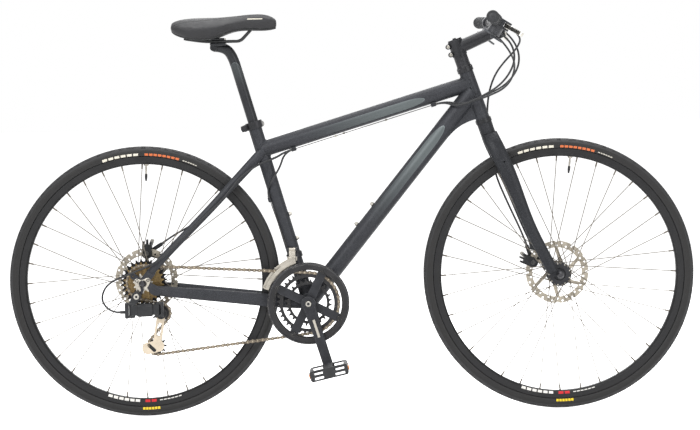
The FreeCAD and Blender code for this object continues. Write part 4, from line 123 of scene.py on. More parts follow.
world = bpy.data.worlds.new("studio")
world.use_nodes = True
scene.world = world
studio = world.node_tree
strength = figure(studio, "MULTIPLY_ADD", white_seen(studio), 1 - ROOM_LIGHT, ROOM_LIGHT)
feed(studio, studio.nodes["Background"], {"Color": WHITE, "Strength": strength})
floor_finish, sheet, shader = new_material("floor_sheet")
glow = figure(sheet, "MULTIPLY", white_seen(sheet), FLOOR_GLOW)
feed(sheet, shader, {
    "Base Color": FLOOR_GREY, "Roughness": 0.95, "Emission Color": WHITE, "Emission Strength": glow,
})
floor_shape = bmesh.new()
bmesh.ops.create_grid(floor_shape, x_segments=1, y_segments=1, size=FLOOR_REACH)
bmesh.ops.translate(floor_shape, vec=(0, 0, -FLOOR_GAP), verts=floor_shape.verts)
floor = in_scene("floor", as_mesh(floor_shape, "floor"))
floor.data.materials.append(floor_finish)
for name, (place, width, watts) in LAMPS.items():
    lamp = bpy.data.lights.new(name, "AREA")
    lamp.size = width
    lamp.energy = watts
    aim = (LAMP_TARGET - Vector(place)).to_track_quat("-Z", "Y")
    in_scene(name, lamp).matrix_world = Matrix.Translation(place) @ aim.to_matrix().to_4x4()

# Camera: on the right of the bike, six metres off and at waist height, looking a little down.
# The photograph leans by about a degree, so the camera is rolled to match.
CAMERA_PLACE = (-0.0012, -6.051, 0.834)
CAMERA_DIP = 3.147
CAMERA_ROLL = -1.141
view = bpy.data.cameras.new("photo_view")
view.sensor_width = 36.0
view.lens = 122.9
view.clip_end = 200.0
scene.camera = in_scene("photo_view", view)
scene.camera.matrix_world = (
    Matrix.Translation(CAMERA_PLACE)
    @ Matrix.Rotation(math.radians(90 - CAMERA_DIP), 4, "X")
    @ Matrix.Rotation(math.radians(CAMERA_ROLL), 4, "Z")
)

# Control cables: steel wires in black plastic housings. Bare wires run under the top tube
# between two stops, with small rubber rings that keep them off the paint. Each housing ends in a
# crimped metal ferrule.
BROAD_SCALE = 0.06
FINE_SHARE = 0.55
GRAIN_CONTRAST = (0.36, 0.64)
EDGE_BEND = (0.99, 0.86)
CHIP_SCALE = 220.0
CHIP_CONTRAST = (0.42, 0.62)
WEAR_AND_GLINT_SHARE = 0.8
COAT_ROUGHNESS = 0.25


def tone(code):
    """Linear colour from a six-digit code as a screen shows it."""
    shares = [int(code[at:at + 2], 16) / 255 for at in (0, 2, 4)]
    return tuple(((s + 0.055) / 1.055) ** 2.4 if s > 0.04045 else s / 12.92 for s in shares) + (1.0,)


def mix(tree, share, below, above):
    """Colour between two others."""
    return add(tree, "Mix", {0: share, 6: below, 7: above}, data_type="RGBA").outputs[2]


def product(tree, value, *others):
    """Values multiplied together."""
    for other in others:
        value = figure(tree, "MULTIPLY", value, other)
    return value


def ramp(tree, value, start, end, low=0.0, high=1.0):
    """Value carried from one range to another, smoothly."""
    inputs = {"Value": value, "From Min": start, "From Max": end, "To Min": low, "To Max": high}
    return add(tree, "MapRange", inputs, interpolation_type="SMOOTHSTEP").outputs[0]


def object_place(tree):
    """Place of each point, as the piece's own mesh has it."""
    return add(tree, "TexCoord").outputs["Object"]


def noise(tree, place, scale, detail):
    """Soft random pattern."""
    return add(tree, "TexNoise", {"Vector": place, "Scale": scale, "Detail": detail}).outputs[0]


def new_group(name, inputs, outputs):
    """Empty shader group, with the values that it is given and the node that takes its results."""
    group = bpy.data.node_groups.new(name, "ShaderNodeTree")
    for side, sockets in (("INPUT", inputs), ("OUTPUT", outputs)):
        for socket, kind in sockets.items():
            group.interface.new_socket(name=socket, in_out=side, socket_type="NodeSocket" + kind)
    return group, group.nodes.new("NodeGroupInput").outputs, group.nodes.new("NodeGroupOutput")


def use_group(tree, group, **values):
    """Results of a group placed in a tree; an underscore in a value's name stands for a space."""
    inputs = {key.replace("_", " "): value for key, value in values.items()}
    return add(tree, "Group", inputs, node_tree=group).outputs


grain_group, given, result = new_group(
    "grain",
    {"Low": "Color", "High": "Color", "Scale": "Float", "Rough Low": "Float", "Rough High": "Float"},
    {"Color": "Color", "Roughness": "Float", "Height": "Float"},
)
place = object_place(grain_group)
fine = noise(grain_group, place, given["Scale"], 5.0)
broad = noise(grain_group, place, product(grain_group, given["Scale"], BROAD_SCALE), 3.0)
both = figure(grain_group, "MULTIPLY_ADD", figure(grain_group, "SUBTRACT", fine, broad), FINE_SHARE, broad)
share = ramp(grain_group, both, *GRAIN_CONTRAST)
rough_span = figure(grain_group, "SUBTRACT", given["Rough High"], given["Rough Low"])
feed(grain_group, result, {
    "Color": mix(grain_group, share, given["Low"], given["High"]),
    "Roughness": figure(grain_group, "MULTIPLY_ADD", share, rough_span, given["Rough Low"]),
    "Height": fine,
})

# Edge mask for a third tone on edges: wear on most parts, and the painted glint on the guard's lip.
edge_group, given, result = new_group("wear_and_glint_edges", {"Width": "Float", "Amount": "Float"}, {"Edge": "Float"})
soft = add(edge_group, "Bevel", {"Radius": given["Width"]}, samples=4).outputs["Normal"]
flat = add(edge_group, "NewGeometry").outputs["Normal"]
facing = add(edge_group, "VectorMath", {0: soft, 1: flat}, operation="DOT_PRODUCT").outputs["Value"]
bends = ramp(edge_group, facing, *EDGE_BEND)
chips = ramp(edge_group, noise(edge_group, object_place(edge_group), CHIP_SCALE, 4.0), *CHIP_CONTRAST)
feed(edge_group, result, {"Edge": product(edge_group, bends, chips, given["Amount"])})


def finish(name, low, high, rough, metallic=0.0, scale=600.0, relief=2e-5, soften=0.0006, edge_wear_and_glint=None,
           coat=0.0, gloss=0.32):
    """Material that wanders between two tones, with softened edges that may take a third: wear, or a painted
    glint.
    """
    material, tree, shader = new_material(name)
    grain = use_group(tree, grain_group, Low=tone(low), High=tone(high), Scale=scale, Rough_Low=rough[0],
                      Rough_High=rough[1])
    colour = grain["Color"]
    if edge_wear_and_glint:
        edge = use_group(tree, edge_group, Width=2 * soften, Amount=WEAR_AND_GLINT_SHARE)["Edge"]
        colour = mix(tree, edge, colour, tone(edge_wear_and_glint))
    rounded = add(tree, "Bevel", {"Radius": soften}, samples=4).outputs["Normal"]
    bump = add(tree, "Bump", {"Distance": relief, "Height": grain["Height"], "Normal": rounded})
    feed(tree, shader, {
        "Base Color": colour, "Roughness": grain["Roughness"], "Normal": bump.outputs["Normal"],
        "Metallic": metallic, "Coat Weight": coat, "Coat Roughness": COAT_ROUGHNESS,
        "Specular IOR Level": gloss,
    })
    return material


SHARP_EDGE = 38
MERGE = 1e-6


def new_piece(name, mesh, material, body, instead=None):
    """Object that rides on a body, smooth but for its sharp edges; it may stand for a CAD node."""
    mesh.name = name
    mesh.shade_smooth()
    mesh.set_sharp_from_angle(angle=math.radians(SHARP_EDGE))
    mesh.materials.clear()
    mesh.materials.append(material)
    piece = in_scene(name, mesh)
    if body:
        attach(piece, body)
    if instead:
        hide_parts(instead)
    return piece


def round_curve(radius, facets, kind, count):
    """Curve in space with a round section, and its one spline of so many points."""
    curve = bpy.data.curves.new("route", "CURVE")
    curve.dimensions = "3D"
    curve.bevel_depth = radius
    curve.bevel_resolution = facets
    spline = curve.splines.new(kind)
    spline.points.add(count - 1)
    return curve, spline


def curve_mesh(curve):
    """Mesh of a curve."""
    holder = bpy.data.objects.new("route", curve)
    mesh = bpy.data.meshes.new_from_object(holder)
    bpy.data.objects.remove(holder)
    return mesh


def tube_mesh(route, radius, swell=None):
    """Round tube that follows a smooth curve drawn from a route's points, where it may swell."""
    curve, spline = round_curve(radius, 3, "NURBS", len(route))
    curve.use_fill_caps = True
    for point, spot, share in zip(spline.points, route, swell or [1.0] * len(route)):
        point.co = (*spot, 1.0)
        point.radius = share
    spline.order_u = 3
    spline.use_endpoint_u = True
    spline.resolution_u = 10
    return curve_mesh(curve)


def put_in(shape, part, matrix):
    """Moves a finished part into a shape, placed by a matrix."""
    bmesh.ops.transform(part, matrix=matrix, verts=part.verts)
    store = as_mesh(part, "part")
    shape.from_mesh(store)
    bpy.data.meshes.remove(store)


def turned(shape, outline, foot, axis, steps=24, socket=False):
    """Adds a round form to a shape: (radius, distance) corners spun about an axis.
    For a socket, corners at the radius of the second one are moved out to a hexagon."""
    part = bmesh.new()
    corners = [part.verts.new((radius, 0, along)) for radius, along in outline]
    sides = [part.edges.new(pair) for pair in zip(corners, corners[1:])]
    bmesh.ops.spin(part, geom=corners + sides, axis=(0, 0, 1), cent=(0, 0, 0), angle=2 * math.pi,
                   steps=steps, use_merge=True)
    bmesh.ops.remove_doubles(part, verts=part.verts, dist=MERGE)
    for vert in part.verts:
        if socket and abs(vert.co.xy.length - outline[1][0]) < MERGE:
            turn = math.atan2(vert.co.y, vert.co.x) % (math.pi / 3) - math.pi / 6
            vert.co.xy *= 1 / math.cos(turn)
    bmesh.ops.recalc_face_normals(part, faces=part.faces)
    swing = Vector((0, 0, 1)).rotation_difference(Vector(axis)).to_matrix().to_4x4()
    put_in(shape, part, Matrix.Translation(foot) @ swing)


def shape_piece(name, shape, material, body, instead=None):
    """Object made from a finished bmesh."""
    return new_piece(name, as_mesh(shape, name), material, body, instead)


def turned_piece(name, outline, places, material, body, instead=None, steps=24, socket=False):
    """Object of like round forms, one at each foot and axis."""
    shape = bmesh.new()
    for foot, axis in places:
        turned(shape, outline, foot, axis, steps, socket)
    return shape_piece(name, shape, material, body, instead)


jacket = finish("cable_jacket", "1b1c1e", "28292b", (0.42, 0.55), scale=900.0, relief=3e-5)
wire_steel = finish("bare_wire", "33312e", "4b4945", (0.3, 0.45), metallic=0.5, scale=1500.0, relief=4e-5)
crimp = finish("ferrule_metal", "3a3a3c", "5a5956", (0.3, 0.45), metallic=0.9, scale=900.0)
ring_rubber = finish("ring_rubber", "9a968d", "b6b2a8", (0.5, 0.65), scale=1400.0)
HOUSING = 0.0025
WIRE = 0.0008
REAR_RUN = [
    (-0.1407, 0.010, 0.6707), (-0.1657, 0.010, 0.6633), (-0.1841, 0.030, 0.6508), (-0.2317, 0.040, 0.6351),
    (-0.2780, 0.0435, 0.6030), (-0.3140, 0.0505, 0.5560), (-0.3640, 0.0635, 0.5110),
]
FRAME_HOUSINGS = {
    "rear_brake_housing": REAR_RUN + [
        (-0.4070, 0.078, 0.4790), (-0.4570, 0.0662, 0.4542), (-0.4830, 0.0662, 0.4352),
    ],
    "rear_shift_housing": [(x, -y, z) for x, y, z in REAR_RUN] + [
        (-0.4290, -0.080, 0.4490), (-0.4850, -0.084, 0.3970), (-0.5550, -0.085, 0.3690),
        (-0.6130, -0.085, 0.3470), (-0.6310, -0.084, 0.3050), (-0.6049, -0.083, 0.2730),
        (-0.5809, -0.083, 0.2730),
    ],
    "front_shift_housing": [
        (-0.1407, 0.0, 0.6707), (-0.1637, 0.0, 0.6638), (-0.1764, -0.018, 0.6239), (-0.1987, -0.033, 0.5926),
        (-0.2096, -0.010, 0.5655), (-0.2036, -0.010, 0.5444),
    ],
}
FRAME_WIRES = {
    name: [(-0.1407, side, 0.6707), (0.0376, side, 0.7235), (0.2160, side, 0.7764)]
    for name, side in (("left_wire", 0.010), ("middle_wire", 0.0), ("right_wire", -0.010))
}
FRAME_WIRES["front_shift_wire"] = [
    (-0.2035, -0.010, 0.5443), (-0.1969, -0.010, 0.5213), (-0.1622, -0.024, 0.4250),
]
HEAD_LOOPS = {
    "rear_brake_loop": [
        (0.3872, 0.1383, 0.9768), (0.3902, 0.1125, 0.9761), (0.4350, 0.082, 0.9280), (0.4420, 0.072, 0.8720),
        (0.4050, 0.062, 0.8220), (0.3450, 0.052, 0.7950), (0.2830, 0.036, 0.7780), (0.2409, 0.010, 0.7838),
        (0.2160, 0.010, 0.7764),
    ],
    "rear_shift_loop": [
        (0.3756, -0.1113, 0.9570), (0.3783, -0.0875, 0.9563), (0.4130, -0.078, 0.9240),
        (0.4200, -0.066, 0.8780), (0.3880, -0.060, 0.8260), (0.3300, -0.052, 0.7920),
        (0.2730, -0.038, 0.7700), (0.2409, -0.010, 0.7838), (0.2160, -0.010, 0.7764),
    ],
    "front_shift_loop": [
        (0.3756, 0.1113, 0.9570), (0.3783, 0.0875, 0.9563), (0.4150, 0.056, 0.9100), (0.4270, 0.008, 0.8680),
        (0.4030, -0.028, 0.8180), (0.3440, -0.037, 0.7920), (0.2850, -0.033, 0.7760), (0.2409, 0.0, 0.7838),
        (0.2160, 0.0, 0.7764),
    ],
}
FRONT_BRAKE_HOUSING = [
    (0.3872, -0.1383, 0.9768), (0.3902, -0.1125, 0.9761), (0.4360, -0.075, 0.9420), (0.4270, -0.030, 0.9140),
    (0.3970, 0.010, 0.8820), (0.3750, 0.048, 0.8500), (0.3610, 0.076, 0.8080), (0.3550, 0.076, 0.7580),
    (0.3550, 0.068, 0.7080), (0.3642, 0.062, 0.6601), (0.3710, 0.057, 0.5969), (0.4040, 0.058, 0.5184),
    (0.4394, 0.0535, 0.4413), (0.4487, 0.0535, 0.4139),
]
FERRULE = [
    (0.0, -0.0002), (0.0034, -0.0002), (0.0034, 0.0015), (0.0030, 0.0022), (0.0030, 0.0095), (0.0027, 0.0105),
]
WIRE_RING = [(0.0008, -0.0034), (0.0022, -0.0024), (0.0026, 0.0), (0.0022, 0.0024), (0.0008, 0.0034)]
RING_SHARES = {"left_wire": 0.36, "right_wire": 0.30, "middle_wire": 0.66}
for routes, radius, cover in ((FRAME_HOUSINGS, HOUSING, jacket), (FRAME_WIRES, WIRE, wire_steel)):
    for name, route in routes.items():
        new_piece(name, tube_mesh(route, radius), cover, "frame", "frame_cables")
for name, route in HEAD_LOOPS.items():
    loop = new_piece(name, tube_mesh(route, HOUSING), jacket, None)
    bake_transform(loop)
    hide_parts("head_cable_loops")
new_piece("front_brake_housing", tube_mesh(FRONT_BRAKE_HOUSING, HOUSING), jacket, "fork",
          "front_brake_cable")
ring_places = []
for name, share in RING_SHARES.items():
    start = Vector(FRAME_WIRES[name][0])
    end = Vector(FRAME_WIRES[name][-1])
    ring_places.append((start.lerp(end, share), end - start))
turned_piece("wire_rings", WIRE_RING, ring_places, ring_rubber, "frame", steps=14)


def first_tip(route):
    """First point of a route, and the way that the route sets off."""
    return route[0], Vector(route[1]) - Vector(route[0])


frame_tips = [first_tip(route) for route in FRAME_HOUSINGS.values()]
frame_tips += [first_tip(route[::-1]) for route in (*FRAME_HOUSINGS.values(), *HEAD_LOOPS.values())]
brake_ends = (FRONT_BRAKE_HOUSING, FRONT_BRAKE_HOUSING[::-1])
fork_tips = [first_tip(route) for route in (*HEAD_LOOPS.values(), *brake_ends)]
turned_piece("frame_ferrules", FERRULE, frame_tips, crimp, "frame", steps=14)
turned_piece("fork_ferrules", FERRULE, fork_tips, crimp, "fork", steps=14)

# Tyres: black rubber casings moulded with a fine cut tread and a raised rib on each wall. They are held
# by their beads in the rims' edges, and plain short bars of colour are printed along the walls.
TREAD_STEPS = 220
SECTION_SIDES = 36
WALL_SIDES = 12
BEAD = [(0.3125, 0.0095), (0.3174, 0.0098)]
SIPE_DEPTH = 0.0009
SIPE_INSET = 0.0006
RIB_RISE = 0.0005
RIB_FROM = 65
RIB_TO = 82
TREAD_SHADE = (0.0055, 0.0075)
MOULDED_BAND = (-0.004, -0.006)
BARS_DROP = 0.0045
MOULD_PITCH = 0.0011
BAR_SHARE = 0.78
TYRE_BARS = [
    (0.0030, 100.0, 8.5, 3.0, "d8d3c4"), (0.0028, 81.0, 8.0, 4.0, "c96a3c"),
    (0.0012, 68.0, 3.5, 3.0, "bdb9ae"), (0.0030, -88.0, 4.0, 3.0, "e2c321"),
]


def spot_on(tree):
    """X, Y and Z of each point."""
    return add(tree, "SeparateXYZ", {0: object_place(tree)}).outputs


def long_side(tree, one, other):
    """Long side of a right triangle with two given sides."""
    return figure(tree, "SQRT", figure(tree, "MULTIPLY_ADD", one, one, product(tree, other, other)))


def from_axle(tree, x, z):
    """How far each point lies ahead of an axle and above it, and how far from it in all."""
    spot = spot_on(tree)
    ahead = figure(tree, "SUBTRACT", spot["X"], x)
    above = figure(tree, "SUBTRACT", spot["Z"], z)
    return ahead, above, long_side(tree, ahead, above)


def near(tree, value, middle, half):
    """One where a value is less than a half width from a middle, and nought elsewhere."""
    off = figure(tree, "ABSOLUTE", figure(tree, "SUBTRACT", value, middle))
    return figure(tree, "LESS_THAN", off, half)


bar_group, given, result = new_group(
    "arc_bar",
    {key: "Float" for key in ("Across", "Up", "Radius", "Depth", "Angle", "Spread", "Bars")},
    {"Mask": "Float"},
)
ahead, above, reach = from_axle(bar_group, given["Across"], given["Up"])
turn = figure(bar_group, "SUBTRACT", figure(bar_group, "ARCTAN2", above, ahead), given["Angle"])
share = figure(bar_group, "DIVIDE", turn, given["Spread"])
beat = product(bar_group, figure(bar_group, "ADD", share, 1.0), given["Bars"])
on_beat = figure(bar_group, "LESS_THAN", figure(bar_group, "FRACT", beat), BAR_SHARE)
in_band = near(bar_group, reach, given["Radius"], given["Depth"])
in_arc = near(bar_group, share, 0.0, 1.0)
feed(bar_group, result, {"Mask": product(bar_group, in_band, in_arc, on_beat)})


def paint_over(material, mask, colour, roughness=None):
    """Lays a colour over a finish where a mask says so."""
    tree = material.node_tree
    shader = tree.nodes["Principled BSDF"]
    below = shader.inputs["Base Color"].links[0].from_socket
    feed(tree, shader, {"Base Color": mix(tree, mask, below, tone(colour))})
    if roughness is not None:
        rough_below = shader.inputs["Roughness"].links[0].from_socket
        span = product(tree, figure(tree, "SUBTRACT", roughness, rough_below), mask)
        feed(tree, shader, {"Roughness": figure(tree, "ADD", rough_below, span)})


def arc_bars(material, centre, radius, depth, angle, spread, bars, colour):
    """A row of plain bars along a circle about the axle; angles in degrees."""
    mask = use_group(material.node_tree, bar_group, Across=centre.x, Up=centre.z, Radius=radius, Depth=depth,
                     Angle=math.radians(angle), Spread=math.radians(spread), Bars=bars)["Mask"]
    paint_over(material, mask, colour, 0.5)


wheel_centres = {}
for wheel in ("front", "rear"):
    low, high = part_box(wheel + "_tyre")
    centre = (low + high) / 2
    wheel_centres[wheel] = centre
    half = (high.y - low.y) / 2
    middle = (high.z - low.z) / 2 - half
    crown = []
    for index in range(-WALL_SIDES, WALL_SIDES + 1):
        lean = 2 * math.pi * index / SECTION_SIDES
        rib = RIB_RISE if RIB_FROM < abs(math.degrees(lean)) < RIB_TO else 0.0
        crown.append((middle + half * math.cos(lean), (half + rib) * math.sin(lean)))
    section = [(reach, -side) for reach, side in BEAD] + crown + BEAD[::-1]
    casing = bmesh.new()
    corners = [casing.verts.new((centre.x + reach, side, centre.z)) for reach, side in section]
    for pair in zip(corners, corners[1:]):
        casing.edges.new(pair)
    bmesh.ops.spin(casing, geom=casing.verts[:] + casing.edges[:], axis=(0, 1, 0), cent=centre,
                   angle=2 * math.pi, steps=TREAD_STEPS, use_merge=True)
    bmesh.ops.remove_doubles(casing, verts=casing.verts, dist=MERGE)
    bmesh.ops.recalc_face_normals(casing, faces=casing.faces)
    sipes = []
    for face in casing.faces:
        spot = face.calc_center_median() - centre
        row = round(math.atan2(spot.y, spot.xz.length - middle) / (2 * math.pi / SECTION_SIDES) - 0.5)
        column = round(math.atan2(spot.z, spot.x) / (2 * math.pi / TREAD_STEPS) - 0.5)
        side = row if row >= 0 else -row - 1
        if side in (1, 2, 3) and (column + 2 * side) % 4 == 0:
            sipes.append(face)
        if side == 4 and column % 3 == 0:
            sipes.append(face)
    bmesh.ops.inset_individual(casing, faces=sipes, thickness=SIPE_INSET, depth=-SIPE_DEPTH)
    rubber = finish(wheel + "_tyre_rubber", "151515", "1e1d1d", (0.55, 0.72), scale=1100.0, relief=4e-5,
                    soften=0.0004)
    tree = rubber.node_tree
    reach = from_axle(tree, centre.x, centre.z)[2]
    tread = ramp(tree, reach, *[middle + edge for edge in TREAD_SHADE])
    paint_over(rubber, tread, "2a2a2b", 0.62)
    moulding = figure(tree, "SINE", product(tree, reach, 2 * math.pi / MOULD_PITCH))
    band = product(tree, ramp(tree, reach, *[middle + edge for edge in MOULDED_BAND]), 0.5)
    paint_over(rubber, product(tree, ramp(tree, moulding, 0.2, 0.9), band), "303031")
    for bar in TYRE_BARS:
        arc_bars(rubber, centre, middle - BARS_DROP, *bar)
    shape_piece(wheel + "_tyre_casing", casing, rubber, wheel + "_wheel", wheel + "_tyre")

# Valves: brass stems plated bright, each with a knurled lock ring against the rim and a black
# screwed cap. They stand on the inner tube and come out through the rim's valve hole.
VALVE_ANGLES = {"front": 83.4, "rear": 88.0}
VALVE_FOOT = 0.317
STEM_OUTLINE = [(0.0, 0.0), (0.0024, 0.0), (0.0024, 0.0285)]
for step in range(9):
    STEM_OUTLINE += [(0.0028, 0.0290 + 0.001 * step), (0.0024, 0.0295 + 0.001 * step)]
STEM_OUTLINE += [(0.0024, 0.0440), (0.0, 0.0440)]
RING_OUTLINE = [(0.0026, 0.0192), (0.0062, 0.0192), (0.0062, 0.0222), (0.0050, 0.0234), (0.0026, 0.0234)]
CAP_OUTLINE = [
    (0.0, 0.0440), (0.0034, 0.0440), (0.0034, 0.0530), (0.0026, 0.0580), (0.0020, 0.0618), (0.0, 0.0622),
]
plated = finish("plated_brass", "86827a", "a9a59d", (0.24, 0.36), metallic=1.0, scale=500.0)
cap_plastic = finish("cap_plastic", "151617", "232425", (0.4, 0.5), scale=1400.0)


def ray(angle):
    """Way out from an axle, at an angle in degrees from straight ahead."""
    return Vector((math.cos(math.radians(angle)), 0, math.sin(math.radians(angle))))


for wheel, angle in VALVE_ANGLES.items():
    foot = wheel_centres[wheel] + ray(angle) * VALVE_FOOT
    stem = bmesh.new()
    for outline in (STEM_OUTLINE, RING_OUTLINE):
        turned(stem, outline, foot, -ray(angle), steps=16)
    shape_piece(wheel + "_valve_stem", stem, plated, wheel + "_wheel", wheel + "_tyre")
    turned_piece(wheel + "_valve_cap", CAP_OUTLINE, [(foot, -ray(angle))], cap_plastic, wheel + "_wheel",
                 wheel + "_tyre", steps=12)

# Rims: black anodised aluminium hoops, rolled from a hollow section and turned on their faces.
# Plain bars of white and red are printed on their sides.
RIM_BARS = [
    (0.0032, -101.0, 8.0, 3.0, "d9d7d2"), (0.0032, -88.0, 3.0, 1.0, "c0262c"),
    (0.0012, -78.5, 5.5, 3.0, "cfcdc8"),
]
RIM_BAR_RADIUS = 0.3035
marks_group, given, result = new_group(
    "turning_marks", {"Across": "Float", "Up": "Float", "Pitch": "Float"}, {"Mask": "Float"})
reach = from_axle(marks_group, given["Across"], given["Up"])[2]
groove = add(marks_group, "CombineXYZ", {0: figure(marks_group, "DIVIDE", reach, given["Pitch"])}).outputs[0]
feed(marks_group, result, {"Mask": ramp(marks_group, noise(marks_group, groove, 1.0, 3.0), 0.35, 0.65)})


def dress(material, *names):
    """Gives CAD nodes their finish."""
    for name in names:
        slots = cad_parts[name].data.materials
        slots.clear()
        slots.append(material)


def turning_marks(material, centre, pitch, colour, amount):
    """Fine rings about a wheel's axle, as a lathe leaves them."""
    tree = material.node_tree
    mask = use_group(tree, marks_group, Across=centre.x, Up=centre.z, Pitch=pitch)["Mask"]
    paint_over(material, product(tree, mask, amount), colour)


for wheel, centre in wheel_centres.items():
    anodised = finish(wheel + "_rim_anodised", "0d0d0e", "151516", (0.32, 0.46), metallic=0.2, edge_wear_and_glint="4a4a4e")
    turning_marks(anodised, centre, 0.0006, "262628", 0.5)
    for bar in RIM_BARS:
        arc_bars(anodised, centre, RIM_BAR_RADIUS, *bar)
    dress(anodised, wheel + "_rim")

# Spokes: drawn stainless wire with plated brass nipples, three crosses to a side. Every second one
# shows its bright head on a flange's outer face, and the others on the inner face.
spoke_steel = finish("spoke_steel", "625c53", "79736a", (0.45, 0.58), metallic=0.1, scale=240.0,
                     soften=0.0002, gloss=0.15)
dress(spoke_steel, "front_spokes", "rear_spokes")
SPOKES_PER_SIDE = 18
FLANGE_FACE = 0.0016
HEAD_CIRCLES = {"front": (0.0265, (-0.033, 0.020)), "rear": (0.0245, (-0.017, 0.032))}
SPOKE_HEAD = [(0.0, -0.0004), (0.0021, -0.0004), (0.0021, 0.0002), (0.0014, 0.0009), (0.0, 0.0012)]
for wheel, (circle, flanges) in HEAD_CIRCLES.items():
    places = []
    for flange, offset in zip(flanges, (0.0, 0.5)):
        for index in range(SPOKES_PER_SIDE):
            facing = math.copysign(1, flange) * (1 if index % 2 else -1)
            spot = wheel_centres[wheel] + ray(360 * (index + offset) / SPOKES_PER_SIDE) * circle
            places.append((spot + Vector((0, flange + facing * FLANGE_FACE, 0)), (0, facing, 0)))
    turned_piece(wheel + "_spoke_heads", SPOKE_HEAD, places, plated, wheel + "_wheel",
                 steps=10)

# Hubs and axles: turned aluminium shells, black anodised, with a flange for the spokes at each side.
# The axle ends and lock nuts are dark steel, clamped in the dropouts.
for wheel, centre in wheel_centres.items():
    hub_black = finish(wheel + "_hub_black", "1d1e20", "2b2c2f", (0.3, 0.45), metallic=0.5, edge_wear_and_glint="6b6a68")
    turning_marks(hub_black, centre, 0.0004, "3a3a3d", 0.5)
    dress(hub_black, wheel + "_hub")
    axle_steel = finish(wheel + "_axle_steel", "2b2b2d", "47474a", (0.3, 0.45), metallic=0.8, edge_wear_and_glint="8d8b86")
    dress(axle_steel, wheel + "_axle")

# Brake rotors: ground stainless discs with drilled bands, each held to its hub by six screws.
# The pads have rubbed the band a little darker.
PAD_TRACK = (0.062, 0.066)
SCREWED_PART = (0.0285, 0.0275)
for wheel, centre in wheel_centres.items():
    ground = finish(wheel + "_rotor_steel", "a1998b", "c0b8aa", (0.22, 0.36), metallic=1.0, soften=0.0003)
    turning_marks(ground, centre, 0.0003, "7a7469", 0.6)
    tree = ground.node_tree
    reach = from_axle(tree, centre.x, centre.z)[2]
    paint_over(ground, product(tree, ramp(tree, reach, *PAD_TRACK), 0.3), "77736b", 0.32)
    paint_over(ground, ramp(tree, reach, *SCREWED_PART), "8f8c86", 0.4)
    dress(ground, wheel + "_rotor")

# Quick-release levers: forged aluminium, polished. Each turns a cam that draws its skewer or clamp
# tight, at the left of each axle and on the seat clamp.
polished = finish("polished_alloy", "a9a8a5", "cccac6", (0.2, 0.34), metallic=1.0, edge_wear_and_glint="e4e2dd")
dress(polished, "front_qr_lever", "rear_qr_lever", "seat_qr_lever")

# Frame: butted aluminium tubes welded together and sprayed satin charcoal with a fine metal flake.
# A lighter grey leaf lies along each side of the top and down tubes.
LEAF_GREY = "5a6061"
LEAF_RIM = "7d8486"
FLAKE_SCALE = 2200.0
FLAKE_LIT = (0.86, 0.98)


def charcoal(name, low="2a2b2e", high="343539"):
    """Satin charcoal with a fine flake."""
    paint = finish(name, low, high, (0.42, 0.52), metallic=0.2, scale=420.0, relief=1e-5, soften=0.0012,
                   edge_wear_and_glint="4a4c50", gloss=0.16)
    tree = paint.node_tree
    flake = add(tree, "TexVoronoi", {"Vector": object_place(tree), "Scale": FLAKE_SCALE}).outputs["Color"]
    lit = add(tree, "SeparateColor", {0: flake}).outputs[0]
    paint_over(paint, product(tree, ramp(tree, lit, *FLAKE_LIT), 0.35), "6a6d72", 0.36)
    return paint


def spot_along(tree, start, along):
    """X along a line from its start, Y across the bike and Z square to both, for each point."""
    lean = math.atan2(along[2], along[0])
    inputs = {"Vector": object_place(tree), "Location": start, "Rotation": (0, -lean, 0)}
    turn = add(tree, "Mapping", inputs, vector_type="TEXTURE").outputs[0]
    return add(tree, "SeparateXYZ", {0: turn}).outputs


def leaf(paint, line, tip, length, half_width, lift, fade, strength=0.92):
    """A long leaf on both sides of a tube: round at its tip, fading into the paint behind."""
    tree = paint.node_tree
    spot = spot_along(tree, line[0], line[1] - line[0])
    ahead = figure(tree, "DIVIDE", figure(tree, "SUBTRACT", spot["X"], tip - length), length)
    above = figure(tree, "DIVIDE", figure(tree, "SUBTRACT", spot["Z"], lift), half_width)
    reach = long_side(tree, figure(tree, "MAXIMUM", ahead, 0.0), above)
    inside = ramp(tree, reach, 1.0, 0.95)
    behind = ramp(tree, spot["X"], tip - fade, tip - 0.15 * fade)
    paint_over(paint, product(tree, behind, strength, inside), LEAF_GREY, 0.4)
    paint_over(paint, product(tree, ramp(tree, reach, 0.93, 0.97), inside, behind), LEAF_RIM, 0.4)


frame_paint = charcoal("frame_charcoal")
dress(frame_paint, "head_tube", "seat_tube", "bottom_bracket", "rear_stays")
dress(charcoal("fork_charcoal", "202124", "292a2d"), "fork")
TOP_TUBE = (Vector((-0.2213, 0, 0.6714)), Vector((0.3090, 0, 0.8286)))
DOWN_TUBE = (Vector((-0.1102, 0, 0.2840)), Vector((0.3157, 0, 0.8088)))
top_paint = charcoal("top_tube_charcoal")
leaf(top_paint, TOP_TUBE, tip=0.432, length=0.055, half_width=0.0105, lift=-0.003, fade=0.36)
dress(top_paint, "top_tube")
down_paint = charcoal("down_tube_charcoal")
leaf(down_paint, DOWN_TUBE, tip=0.563, length=0.06, half_width=0.0125, lift=0.004, fade=0.34)
dress(down_paint, "down_tube")

# Rear stays: oval aluminium tubes with short bridges, welded to the seat tube, the shell and the
# dropouts. The seatstays run straight up to the seat tube, and grow taller on the way.
STAY_OVAL = 1.375
STAY_RISE = 0.2
SEAT_TUBE = (Vector((-0.1102, 0, 0.2840)), Vector((-0.2408, 0, 0.7396)))
SEAT_TUBE_WALL = 0.0165
SEATSTAY_LINE = [
    ((-0.5030, 0.0697, 0.3710), 0.0095), ((-0.4900, 0.0697, 0.3900), 0.0100),
    ((-0.3640, 0.0500, 0.5140), 0.0105), ((-0.3041, 0.0340, 0.5780), 0.0115),
    ((-0.2620, 0.0230, 0.6220), 0.0125), ((-0.2180, 0.0120, 0.6680), 0.0130),
]


